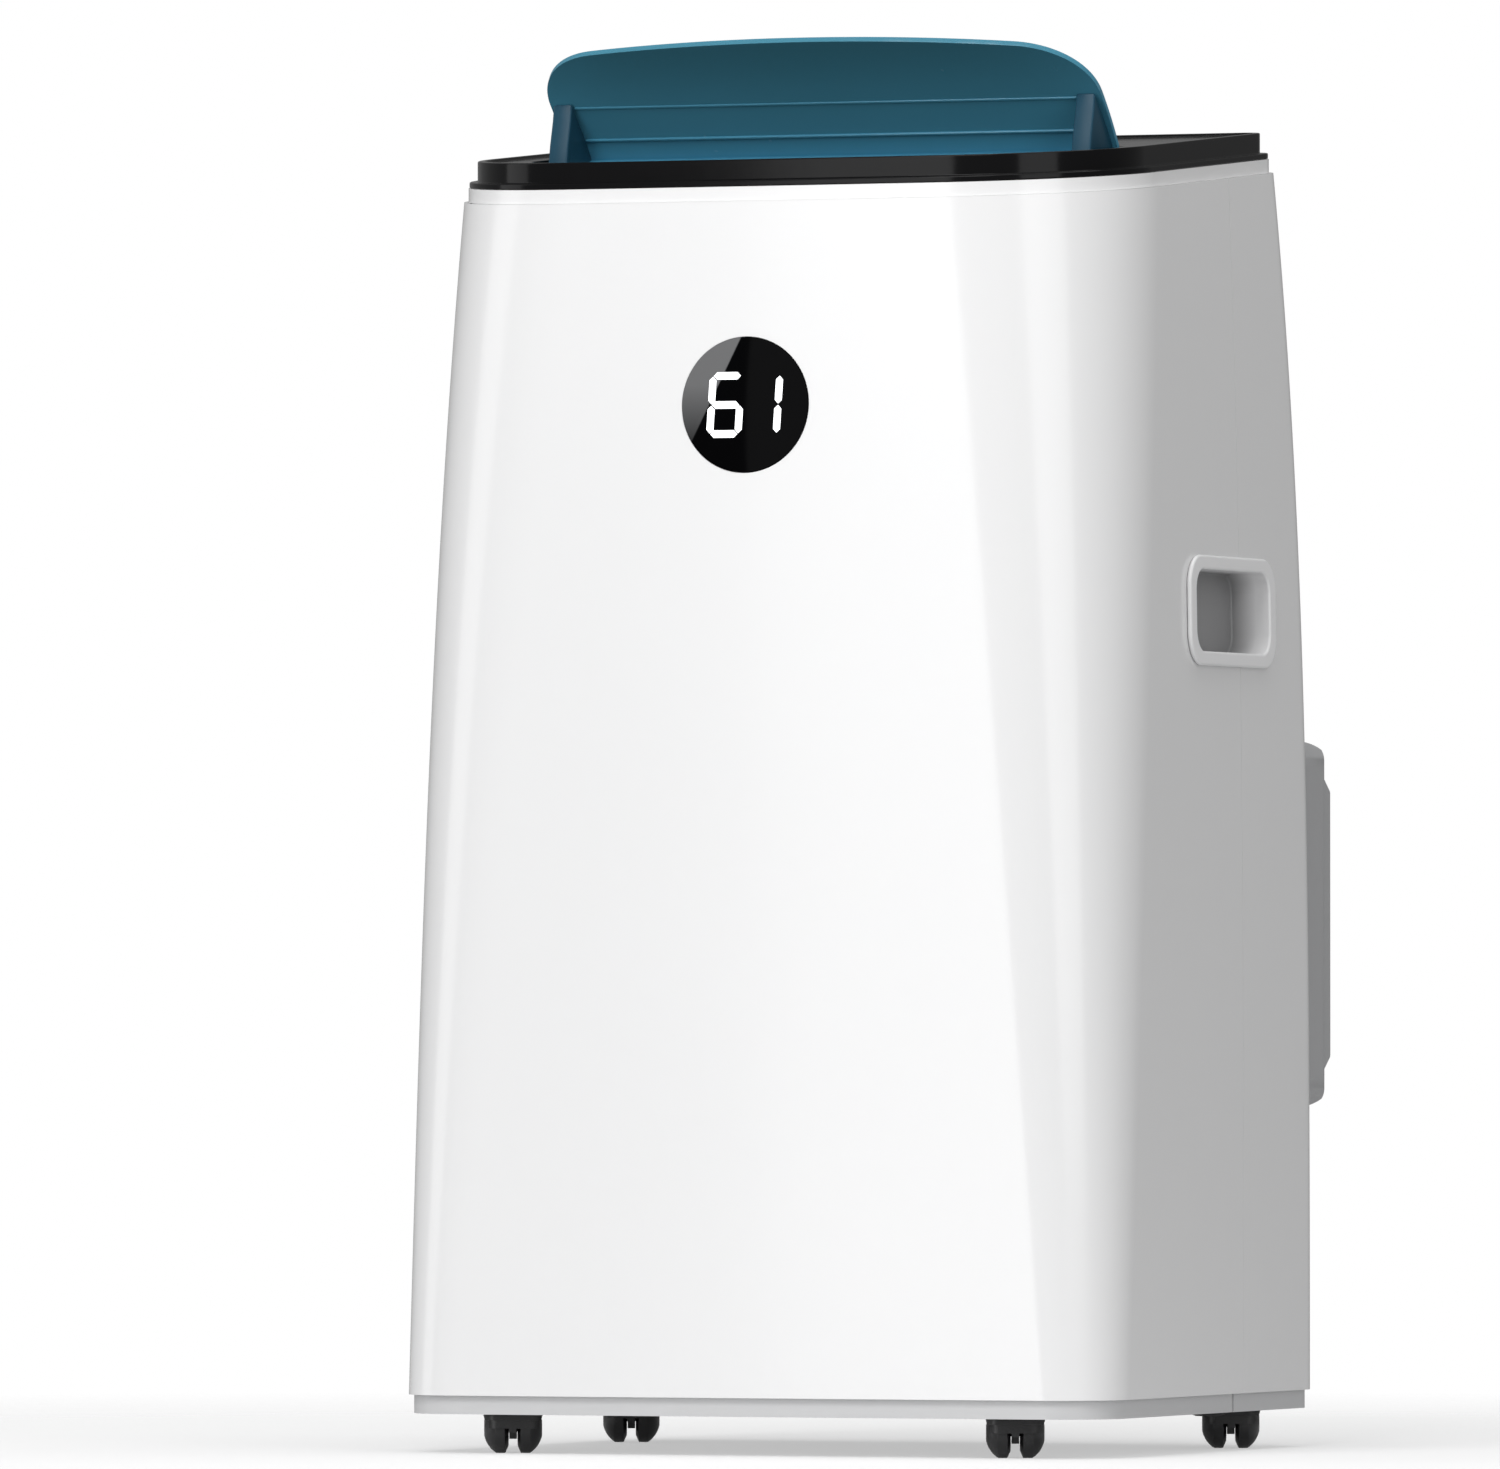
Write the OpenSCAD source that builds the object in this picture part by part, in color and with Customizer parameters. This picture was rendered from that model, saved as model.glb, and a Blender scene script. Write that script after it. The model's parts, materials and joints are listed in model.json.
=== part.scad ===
/* [Cabinet] */
// Width of the cabinet at its foot
cabinet_w = 430; // [400:1:520]
// Depth of the cabinet at its foot, without the hose housing
cabinet_d = 356; // [340:1:430]
// Height of the shells' top edge at the front
shell_top = 700; // [690:1:850]
// Height of the shells' bottom edge above the floor
shell_foot = 32.5; // [30:0.5:40]
// Height of the base strip's lower edge above the floor
base_foot = 22; // [21:0.5:26]
// Thickness of the moulded shells
wall = 3.2; // [2.6:0.1:4]
// How far each side leans in at the top
side_lean = 9; // [4:1:14]
// How far the front leans back at the top
front_lean = 12; // [6:1:24]
// How far the rear leans forward at the top
back_lean = 35; // [20:1:40]
// Corner radius of the front at the foot
front_r_foot = 40; // [30:1:60]
// Corner radius of the front at the top
front_r_top = 98; // [70:1:102]
// Corner radius of the rear
back_r = 26; // [20:1:32]
// Where the side seam lies behind the front
seam_depth = 226; // [215:1:240]

/* [Top cover] */
// Slope of the top cover, rising to the rear
deck_slope = 4.95; // [3:0.05:6]
// Height of the white collar under the cover
collar_h = 8; // [6:0.5:12]
// Height of the black cover's wall above its flange
cover_h = 11.6; // [9:0.1:16]
// Diameter of the push buttons
button_d = 15; // [12:0.5:18]
// Travel of the push buttons
button_travel = 1.2; // [0.8:0.1:2]

/* [Outlet flap] */
// Half of the flap's width
flap_half_w = 167; // [150:1:175]
// Depth of the flap from its hinge to its free edge
flap_chord = 97; // [80:1:104]
// Height of the flap's crown
flap_crown = 5.5; // [3:0.5:8]
// Radius of the flap's free corners
flap_corner_r = 45; // [30:1:55]
// How far the flap stands open at rest, from closed
flap_open = 46; // [35:1:52]
// Distance of the hinge behind the front at the foot
hinge_depth = 152.5; // [148:0.5:165]

/* [Side handles] */
// Length of the hand opening
handle_l = 118; // [100:1:124]
// Height of the hand opening
handle_h = 46; // [38:1:52]
// Depth of the hand pocket
pocket_depth = 24; // [18:1:28]

/* [Display] */
// Diameter of the round display window
window_d = 76; // [60:1:90]
// Height of the display's centre
window_z = 586; // [540:1:600]

/* [Blowers] */
// Radius of the upper impeller
upper_fan_r = 88; // [74:1:90]
// Radius of the lower impeller
lower_fan_r = 78; // [66:1:80]
// Radius of the hose spigot's bore
spigot_r = 62.5; // [50:0.5:66]

/* [Casters] */
// Radius of the caster wheels
wheel_r = 14; // [11.5:0.5:14.5]
// Angle at which the casters stand at rest
caster_turn = 21.6; // [0:0.1:45]
// Offset of the wheel axle from the caster's stem
caster_trail = 4; // [3:0.5:4.5]

/* [Hidden] */
$fn = 64;

// Running clearance of a shaft in its bore, and the gap between neighbouring pieces
run = 0.05;
gap = 0.4;

// ---- Cabinet form: s runs from 0 at the foot to 1 at the top edge ----
housing_out = 39;
band_out = 5;
spigot_lip = 2;
rear_out = housing_out + band_out + spigot_lip;
front = -(cabinet_d + rear_out)/2;
back = front + cabinet_d;
seam_y = front + seam_depth;
lean_power = 3.1;
front_bow = 1.7;
arc_steps = 12;
bow_steps = 8;
shell_levels = 12;

function lean(s) = pow(s, lean_power);
function side_x(s) = cabinet_w/2 - side_lean*lean(s);
function front_y(s) = front + front_lean*lean(s);
function back_y(s) = back - back_lean*lean(s);
function front_r(s) = front_r_foot + (front_r_top - front_r_foot)*s;
function arc(cx, cy, r, a0, a1) =
    [for (k = [0:arc_steps]) let (a = a0 + (a1 - a0)*k/arc_steps) [cx + r*cos(a), cy + r*sin(a)]];

// The front and rear halves of the outline at s, drawn in by i, as open paths
function front_path(s, i) =
    let (x = side_x(s) - i, r = front_r(s) - i, c = x - r, y = front_y(s) + i)
    concat([[x, seam_y - gap/2]],
           arc(c, y + front_bow + r, r, 0, -90),
           [for (k = [1:bow_steps - 1]) let (u = 1 - 2*k/bow_steps) [c*u, y + front_bow*u*u]],
           arc(-c, y + front_bow + r, r, -90, -180),
           [[-x, seam_y - gap/2]]);
function back_path(s, i) =
    let (x = side_x(s) - i, r = back_r - i, y = back_y(s) - i)
    concat([[-x, seam_y + gap/2]],
           arc(-x + r, y - r, r, 180, 90),
           arc(x - r, y - r, r, 90, 0),
           [[x, seam_y + gap/2]]);
function outline(s, i) = concat(front_path(s, i), back_path(s, i));

// The top edge lies on a plane that rises to the rear
top_front = front_y(1);
function top_z(y) = shell_top + (y - top_front)*tan(deck_slope);
function at_height(p, s) = [p[0], p[1], shell_foot + (top_z(p[1]) - shell_foot)*s];
// The height fraction of a point at height z on the wall at depth y
function share(z, y) = (z - shell_foot)/(top_z(y) - shell_foot);

// A shell half: outer and inner skins joined along both seams, the top and the foot
module shell_skin(is_front) {
    half = [for (k = [0:shell_levels]) let (s = k/shell_levels)
            is_front ? [front_path(s, 0), front_path(s, wall)] : [back_path(s, 0), back_path(s, wall)]];
    n = len(half[0][0]);
    m = 2*n;
    pts = [for (k = [0:shell_levels], j = [0:m - 1])
           at_height(j < n ? half[k][0][j] : half[k][1][m - 1 - j], k/shell_levels)];
    top = shell_levels*m;
    sides = [for (k = [0:shell_levels - 1], j = [0:m - 1])
             let (a = k*m + j, b = k*m + (j + 1)%m) each [[a, b, a + m], [b, b + m, a + m]]];
    foot_cap = [for (j = [0:n - 2]) let (c = m - 1 - j) each [[j, c, j + 1], [j + 1, c, c - 1]]];
    top_cap = [for (j = [0:n - 2]) let (c = m - 1 - j) each [[top + j, top + j + 1, top + c],
                                                            [top + j + 1, top + c - 1, top + c]]];
    polyhedron(pts, concat(sides, foot_cap, top_cap));
}

// ---- Shared helpers ----
module rounded(w, h, r) {
    square([w - 2*r, h], center = true);
    square([w, h - 2*r], center = true);
    for (x = [-1, 1], y = [-1, 1]) translate([x*(w/2 - r), y*(h/2 - r)]) circle(r);
}
// Children drawn in the YZ plane and extruded along X
module along_x(x0, x1) {
    translate([x0, 0, 0]) rotate([90, 0, 90]) linear_extrude(x1 - x0) children();
}
// Children drawn in the XZ plane and extruded along Y
module along_y(y0, y1) {
    translate([0, y1, 0]) rotate([90, 0, 0]) linear_extrude(y1 - y0) children();
}
module rod_x(r, x0, x1, y, z) { translate([x0, y, z]) rotate([0, 90, 0]) cylinder(r = r, h = x1 - x0); }
module rod_y(r, y0, y1, x, z) { translate([x, y0, z]) rotate([-90, 0, 0]) cylinder(r = r, h = y1 - y0); }
module block(x, y, z) { translate([x[0], y[0], z[0]]) cube([x[1] - x[0], y[1] - y[0], z[1] - z[0]]); }
// The slab between two planes parallel to the top edge, w0 and w1 above it
module deck_slab(w0, w1) {
    far = 600;
    translate([0, top_front, shell_top]) rotate([deck_slope, 0, 0])
        translate([-far, -far, w0*cos(deck_slope)]) cube([2*far, 2*far, (w1 - w0)*cos(deck_slope)]);
}
module deck_plate(i, w0, w1) {
    intersection() {
        translate([0, 0, shell_top - 60]) linear_extrude(200) polygon(outline(1, i));
        deck_slab(w0, w1);
    }
}
// A frame on the sloping top plane: +Z is the plane's normal
module on_deck(x, y, w) {
    translate([x, y, top_z(y) + w]) rotate([deck_slope, 0, 0]) children();
}

// ---- Top cover and flap ----
collar_inset = 2.5;
flange_inset = 3;
cover_inset = 7.6;
flange_h = 3.4;
cover_wall = 2.6;
rim_w = 4;
rim_h = 1.5;
cover_top = collar_h + flange_h + cover_h;
deck_w = cover_top - rim_h;
deck_under = deck_w - cover_wall;

hinge_y = front + hinge_depth;
flap_t = 3;
flap_rise = 7;
flap_root = 4.5;
hinge_w = deck_w - 0.7 - flap_rise;
hinge_z = top_z(hinge_y) + hinge_w;
root_r = 6;
pin_r = 2.5;
flap_edge_r = 950;
flap_crown_r = (flap_chord*flap_chord/4 + flap_crown*flap_crown)/(2*flap_crown);
cheek_x = flap_half_w - 2.6;
cheek_w = 11.5;
duct_wall = 2.2;
duct_x = cheek_x - cheek_w - duct_wall - 0.8;
// The hole's rear edge clears the flap's swinging rear corner
hole_root = sqrt(flap_root*flap_root + flap_rise*flap_rise - pow(deck_under - hinge_w, 2)) + 0.8;

// Plan of the flap ahead of its hinge: a bowed free edge with round corners, grown by g
module flap_plan(g, root = flap_root) {
    xc = flap_half_w - flap_corner_r;
    yc = flap_chord - flap_edge_r + sqrt(pow(flap_edge_r - flap_corner_r, 2) - xc*xc);
    xt = flap_edge_r*xc/(flap_edge_r - flap_corner_r);
    mirror([0, 1]) {
        translate([-flap_half_w - g, -root]) square([2*(flap_half_w + g), yc + root]);
        for (x = [-xc, xc]) translate([x, yc]) circle(flap_corner_r + g);
        intersection() {
            translate([0, flap_chord - flap_edge_r]) circle(flap_edge_r + g, $fn = 360);
            translate([-xt, 0]) square([2*xt, flap_chord + 2*g]);
        }
    }
}
// The flap's own frame: origin on the hinge, -Y towards the free edge when closed
module on_flap() {
    translate([0, hinge_y, hinge_z]) rotate([deck_slope - flap_open, 0, 0]) children();
}
module crown_section() {
    translate([-flap_chord/2, flap_rise + flap_crown - flap_crown_r]) difference() {
        circle(flap_crown_r, $fn = 180);
        circle(flap_crown_r - flap_t, $fn = 180);
        translate([-2*flap_crown_r, -3*flap_crown_r]) square([4*flap_crown_r, 3*flap_crown_r]);
    }
}
module flap() {
    color([0.13, 0.4, 0.48]) on_flap() {
        intersection() {
            along_x(-flap_half_w - 1, flap_half_w + 1) crown_section();
            translate([0, 0, -5]) linear_extrude(40) flap_plan(0);
        }
        rod_x(root_r, -cheek_x + cheek_w - 1, cheek_x - cheek_w + 1, 0, 0);
        for (side = [0, 1]) mirror([side, 0, 0]) difference() {
            along_x(cheek_x - cheek_w, cheek_x) union() {
                polygon([[4, -4], [4, 5.5], [-46, 10.5], [-28, -25], [-20, -28]]);
                circle(root_r);
            }
            rod_x(pin_r + 0.02, cheek_x - cheek_w + 2, cheek_x + 1, 0, 0);
        }
    }
}
module flap_pins() {
    color("silver") on_flap() for (side = [0, 1]) mirror([side, 0, 0])
        rod_x(pin_r, cheek_x - cheek_w + 2, bracket_x + bracket_t, 0, 0);
}
bracket_x = flap_half_w + 1.8;
bracket_t = 6;
module hinge_block() {
    difference() {
        block([bracket_x, bracket_x + bracket_t], [-6, 8], [-6, deck_under - hinge_w - 0.15]);
        rod_x(pin_r + run, bracket_x - 1, bracket_x + bracket_t + 1, 0, 0);
    }
}
module at_hinge() { translate([0, hinge_y, hinge_z]) rotate([deck_slope, 0, 0]) children(); }
module flap_bracket() { color("dimgray") at_hinge() hinge_block(); }
module flap_motor() {
    color([0.75, 0.75, 0.72]) at_hinge() mirror([1, 0, 0]) {
        hinge_block();
        can_z = -12.5;
        block([bracket_x, bracket_x + bracket_t], [-10, 10], [-24, -6]);
        rod_x(11, bracket_x + bracket_t, bracket_x + bracket_t + 18, 0, can_z);
    }
}
module top_collar() {
    color("white") difference() {
        union() {
            deck_plate(collar_inset, 0, collar_h);
            deck_plate(wall + 0.5, -14, 0);
        }
        deck_plate(11.5, -1, collar_h + 1);
        deck_plate(wall + 3, -15, 0.1);
        screws(top_screw_x, top_screw_z, 2.05);
    }
}

panel_y = back - 100;
panel_l = 190;
panel_b = 40;
panel_t = 2;
button_pitch = 38;
module top_cover() {
    color([0.07, 0.07, 0.08]) difference() {
        union() {
            deck_plate(flange_inset, collar_h, collar_h + flange_h);
            deck_plate(cover_inset, collar_h + flange_h - 0.1, cover_top);
        }
        deck_plate(cover_inset + cover_wall, collar_h - 1, deck_under);
        deck_plate(cover_inset + rim_w, deck_w, cover_top + 5);
        translate([0, hinge_y, shell_top]) linear_extrude(100) flap_plan(1.2, hole_root);
        on_deck(0, panel_y, deck_w) translate([0, 0, -20]) linear_extrude(60) rounded(panel_l, panel_b, 8);
    }
}
module control_panel() {
    color([0.12, 0.12, 0.13]) on_deck(0, panel_y, deck_w) difference() {
        union() {
            translate([0, 0, -panel_t]) linear_extrude(panel_t - 0.3)
                rounded(panel_l - 2*gap, panel_b - 2*gap, 7.5);
            translate([0, 0, -cover_wall - 2.2]) linear_extrude(2) rounded(panel_l + 8, panel_b + 8, 8);
            translate([0, 0, -cover_wall - 1]) linear_extrude(2) rounded(panel_l - 6, panel_b - 6, 6);
        }
        for (k = [0:3]) translate([(k - 1.5)*button_pitch, 0, -20]) cylinder(d = button_d + 0.6, h = 40);
    }
}
module button(k) {
    color([0.3, 0.3, 0.32]) on_deck((k - 1.5)*button_pitch, panel_y, deck_w) {
        translate([0, 0, -4]) cylinder(d = button_d, h = 4.6);
        translate([0, 0, -6.8]) cylinder(d = button_d + 3, h = 1.4);
        translate([0, 0, -6]) cylinder(d = button_d, h = 2.5);
        translate([0, 0, -9]) cylinder(r = 2, h = 2.5);
    }
}
module control_board() {
    board_top = -12.4;
    switch_h = -9 - board_top - button_travel - 0.3;
    color([0.1, 0.35, 0.2]) on_deck(0, panel_y, deck_w) {
        translate([0, 0, board_top - 1.6]) linear_extrude(1.6) rounded(panel_l - 6, panel_b - 4, 3);
        for (k = [0:3]) translate([(k - 1.5)*button_pitch, 0, board_top]) cylinder(r = 3, h = switch_h);
        for (x = [-1, 1], y = [-1, 1]) translate([x*(panel_l/2 - 9), y*(panel_b/2 - 8), board_top - 0.1])
            cylinder(r = 2.5, h = -board_top - cover_wall - 2.2);
    }
}

// ---- Outlet duct, vanes and their drive ----
duct_y0 = hinge_y - 86;
duct_y1 = hinge_y - 8.5;
throat_z = shell_top - 20;
rail_t = 4;
vane_y = (duct_y0 + duct_y1)/2 - 6;
vane_pitch = 54;
vane_arm = 12;
vane_pin_r = 2;
vane_shaft = 30;
drive_pin_r = 1.5;
upper_fan_x = 10;
upper_fan_z = throat_z - 148;
scroll_r = upper_fan_r + 24;
scroll_y0 = front + 66;
scroll_y1 = scroll_y0 + 116;
duct_drop = 32;
scroll_exit_z = throat_z - duct_drop;
foot_x = scroll_r*0.62;
module duct_mouth(grow, z0, h) {
    translate([-duct_x - grow, duct_y0 - grow, z0]) cube([2*(duct_x + grow), duct_y1 - duct_y0 + 2*grow, h]);
}
module duct_funnel(grow, low, high) {
    hull() {
        block([upper_fan_x - grow, upper_fan_x + scroll_r - 2.5 + grow],
              [scroll_y0 + 2.5 - grow, scroll_y1 - 2.5 + grow],
              [scroll_exit_z - low, scroll_exit_z + 0.5]);
        duct_mouth(grow, throat_z - 0.5, high);
    }
}
module outlet_duct() {
    color([0.2, 0.22, 0.24]) difference() {
        union() {
            duct_funnel(duct_wall, 0, 0.5);
            intersection() {
                duct_mouth(duct_wall, throat_z - 0.2, 120);
                deck_slab(-100, hinge_w + 2.2);
            }
        }
        duct_funnel(0, 1, 2);
        duct_mouth(0, throat_z - 0.5, 140);
        translate([-2*vane_pitch, vane_y, throat_z - 30]) cylinder(r = 4, h = 30);
    }
}
module vane_rail() {
    color([0.25, 0.27, 0.3]) difference() {
        block([-duct_x + 0.1, duct_x - 0.1], [vane_y - 6, vane_y + 6], [throat_z, throat_z + rail_t]);
        for (k = [-2:2]) translate([k*vane_pitch, vane_y, throat_z - 1])
            cylinder(r = vane_pin_r + run, h = rail_t + 2);
    }
}
// Vane number k of five; the first one has the long shaft that the motor turns
module vane(k) {
    below = k == 1 ? vane_shaft : 1.5;
    color([0.3, 0.33, 0.36]) translate([(k - 3)*vane_pitch, vane_y, throat_z]) {
        translate([-1, -28, rail_t + 1]) cube([2, 56, 27]);
        translate([0, 0, -below]) cylinder(r = vane_pin_r, h = rail_t + 2 + below);
        translate([0, 0, rail_t + 0.4]) cylinder(r = 4, h = 1.2);
        translate([0, vane_arm, -1.5]) cylinder(r = drive_pin_r, h = rail_t + 3);
    }
}
module vane_link() {
    slot_w = drive_pin_r + 0.45;
    link_l = 4*vane_pitch + 16;
    color([0.8, 0.8, 0.8]) translate([0, vane_y + vane_arm, throat_z + 0.5]) difference() {
        translate([-link_l/2, -5.5, 0]) cube([link_l, 9.5, 2.5]);
        for (k = [-2:2]) translate([k*vane_pitch - slot_w, -1.8 - drive_pin_r, -1])
            cube([2*slot_w, 2*drive_pin_r + 2.2, 5]);
    }
}
// Height of the funnel's outer underside at x, on the side of the vane motor
function funnel_z(x) = throat_z - duct_drop*(x + duct_x + duct_wall)/(duct_x + upper_fan_x);
module vane_motor() {
    x0 = -2*vane_pitch;
    z0 = throat_z - vane_shaft - 6;
    color([0.75, 0.75, 0.72]) difference() {
        union() {
            translate([x0, vane_y, z0]) cylinder(r = 14, h = 18);
            translate([x0, vane_y, z0 + 8]) linear_extrude(2) rounded(46, 12, 5);
            for (x = [x0 - 18, x0 + 18]) translate([x, vane_y, z0 + 8])
                cylinder(r = 2.5, h = funnel_z(x + 2.5) - 0.3 - z0 - 8);
        }
        translate([x0, vane_y, z0 - 1]) cylinder(r = vane_pin_r + run, h = 60);
    }
}

// ---- Shells, base and handles ----
handle_y = seam_y - 17;
handle_z = 473;
handle_s = share(handle_z, handle_y);
handle_r = 12;
rim_out = 3;
rim_round = 10;
module at_handle(side) {
    tilt = atan(side_lean*lean_power*pow(handle_s, lean_power - 1)/(shell_top - shell_foot));
    mirror([side < 0 ? 1 : 0, 0, 0])
        translate([side_x(handle_s), handle_y, handle_z]) rotate([0, -tilt, 0]) children();
}
module handle_cut() {
    for (side = [-1, 1]) at_handle(side) along_x(-8, 8) rounded(handle_l + 6, handle_h + 6, handle_r + 3);
}
module handle(side) {
    color([0.93, 0.93, 0.93]) at_handle(side) difference() {
        union() {
            along_x(0.2, rim_out) rounded(handle_l + 2*rim_round, handle_h + 1.6*rim_round, handle_r + 6);
            along_x(rim_out - pocket_depth - 2.5, rim_out - 0.5)
                rounded(handle_l + 5, handle_h + 5, handle_r + 2.5);
        }
        along_x(rim_out - pocket_depth, rim_out + 1) rounded(handle_l, handle_h, handle_r);
    }
}
window_s = share(window_z, top_front);
window_t = 3;
module on_window() {
    tilt = atan(front_lean*lean_power*pow(window_s, lean_power - 1)/(shell_top - shell_foot));
    translate([0, front_y(window_s), window_z]) rotate([90 - tilt, 0, 0]) children();
}
module front_shell() {
    color("white") difference() {
        shell_skin(true);
        on_window() translate([0, 0, -12]) cylinder(d = window_d + 0.4, h = 24);
        handle_cut();
    }
}
grille_l = 320;
grille_h = 222;
grille_z = shell_top - 140;
grille_s = share(grille_z, back);
grille_tilt = atan(back_lean*lean_power*pow(grille_s, lean_power - 1)/(shell_top - shell_foot));
module on_grille() { translate([0, back_y(grille_s), grille_z]) rotate([grille_tilt, 0, 0]) children(); }
housing_z0 = 193;
housing_z1 = 403;
housing_x = cabinet_w/2 - 8;
housing_t = 3;
drain_x = -150;
drain_z = 50;
gland_x = 150;
gland_z = 110;
low_screw_x = [-90, 90];
low_screw_z = 50;
top_screw_x = [-150, 0, 150];
top_screw_z = top_z(back_y(1)) - 7;
top_screw_y = back_y(share(top_screw_z, back_y(1))) + 0.8;
// Screw shanks or their holes through the rear wall
module screws(xs, z, r) { for (x = xs) rod_y(r, back - 70, back + 5, x, z); }
module rear_shell() {
    color("white") difference() {
        shell_skin(false);
        handle_cut();
        on_grille() translate([-grille_l/2 - gap, -30, -grille_h/2 - gap])
            cube([grille_l + 2*gap, 60, grille_h + 2*gap]);
        along_y(back - 16, back + 20) translate([0, spigot_z])
            rounded(2*(housing_x + gap), housing_z1 - housing_z0 + 2*gap, housing_round + gap);
        rod_y(9.4, back - 12, back + 5, drain_x, drain_z);
        rod_y(8.3, back - 12, back + 5, gland_x, gland_z);
        screws(low_screw_x, low_screw_z, 2.1);
        screws(top_screw_x, top_screw_z, 2.1);
    }
}
module casing_screws() {
    color("silver") {
        for (x = low_screw_x) {
            rod_y(2, back - 9, back + 1, x, low_screw_z);
            rod_y(4, back + 0.3, back + 2.4, x, low_screw_z);
        }
        for (x = top_screw_x) {
            rod_y(2, top_screw_y - 13, top_screw_y + 0.1, x, top_screw_z);
            rod_y(4, top_screw_y, top_screw_y + 2, x, top_screw_z);
        }
    }
}
module cord_gland() {
    color([0.1, 0.1, 0.1]) difference() {
        union() {
            rod_y(8, back - 8, back + 1, gland_x, gland_z);
            rod_y(11, back + 0.1, back + 3, gland_x, gland_z);
            rod_y(11, back - 8, back - wall - 0.3, gland_x, gland_z);
        }
        rod_y(4, back - 20, back + 20, gland_x, gland_z);
    }
}

base_inset = 3;
well_r = 25;
well_wall = 2.2;
well_roof = 33;
stem_r = 4;
boss_r = 8;
stem_top = 55;
front_stem = [cabinet_w/2 - 64, front + 33];
rear_stem = [cabinet_w/2 - 31, back - 68];
stems = [[-front_stem[0], front_stem[1]], front_stem, [-rear_stem[0], rear_stem[1]], rear_stem];
pad_x = cabinet_w/2 - 23;
pad_y = seam_y + 4;
module base_pan() {
    floor_t = 3;
    rim_t = 3.2;
    rim_top = 62;
    color([0.86, 0.86, 0.86]) difference() {
        union() {
            translate([0, 0, base_foot]) linear_extrude(floor_t) polygon(outline(0, base_inset));
            translate([0, 0, base_foot]) linear_extrude(shell_foot - base_foot) difference() {
                polygon(outline(0, base_inset));
                polygon(outline(0, base_inset + rim_t));
            }
            translate([0, 0, base_foot + 1]) linear_extrude(rim_top - base_foot - 1) difference() {
                polygon(outline(share(rim_top, front), wall + gap));
                polygon(outline(0, base_inset + rim_t));
            }
            for (p = stems) translate([p[0], p[1], base_foot]) {
                cylinder(r = well_r + well_wall, h = well_roof + well_wall - base_foot);
                cylinder(r = boss_r, h = stem_top + 2 - base_foot);
            }
            rod_y(8.8, back - 30, back + 4, drain_x, drain_z);
            for (x = [cond_x0 + 30, cond_x1 - 30])
                block([x - 4, x + 4], [cond_y - 3, cond_y + coil_t - 2], [base_foot + 1, cond_z0 + 3.8]);
        }
        for (p = stems) translate([p[0], p[1], 0]) {
            cylinder(r = well_r, h = well_roof);
            cylinder(r = stem_r + run, h = stem_top);
        }
        rod_y(6, back - 40, back + 10, drain_x, drain_z);
        screws(low_screw_x, low_screw_z, 2.05);
        for (side = [0, 1]) mirror([side, 0, 0])
            block([cabinet_w/2 - 6, cabinet_w/2], [seam_y - 11.5, seam_y - 8.5],
                  [base_foot - 1, shell_foot + 0.01]);
    }
}
module base_pads() {
    color([0.06, 0.06, 0.06]) for (x = [-pad_x, pad_x]) translate([x, pad_y, base_foot - 2.6]) {
        translate([0, 0, 1.4]) cylinder(r = 11, h = 1.2);
        cylinder(r1 = 7, r2 = 11, h = 1.4);
    }
}
module drain_cap() {
    color([0.1, 0.1, 0.1]) {
        rod_y(5.92, back - 8, back + 4.5, drain_x, drain_z);
        rod_y(10.5, back + 4.2, back + 8, drain_x, drain_z);
        block([drain_x - 2, drain_x + 2], [back + 7.5, back + 13], [drain_z - 8, drain_z + 8]);
    }
}

// ---- Hose housing on the rear ----
lower_fan_x = 110;
lower_case_w = 98;
lower_fan_y = front + 148;
lower_case_r = lower_fan_r + 20;
spigot_z = (housing_z0 + housing_z1)/2;
lower_fan_z = spigot_z - lower_case_r/2;
housing_round = 17;
band_round = 6;
band_edge = 29;
// A tile with round corners all round, and a raised band across its middle, both drawn in by i
module housing_body(i) {
    round_in = housing_round - i;
    half_w = housing_x - i;
    band_w = half_w - 1.5;
    z0 = housing_z0 + i;
    z1 = housing_z1 - i;
    y0 = back - 12;
    y1 = back + housing_out - i;
    y2 = y1 + band_out;
    intersection() {
        along_y(y0, y1) translate([0, spigot_z]) rounded(2*half_w, z1 - z0, round_in);
        translate([0, 0, z0]) linear_extrude(z1 - z0) translate([0, y0]) round_end(half_w, y1 - y0, round_in);
        along_x(-half_w, half_w) translate([y0, spigot_z]) rotate(-90)
            round_end((z1 - z0)/2, y1 - y0, round_in);
    }
    intersection() {
        translate([0, 0, z0]) linear_extrude(z1 - z0) translate([0, y0])
            round_end(band_w, y2 - y0, band_round - i/2);
        along_x(-band_w, band_w) polygon([[y1 - housing_round, z0 + housing_round], [y1, z0 + band_edge],
                                          [y2, z0 + band_edge + band_out], [y2, z1 - band_edge - band_out],
                                          [y1, z1 - band_edge], [y1 - housing_round, z1 - housing_round]]);
    }
}
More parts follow.
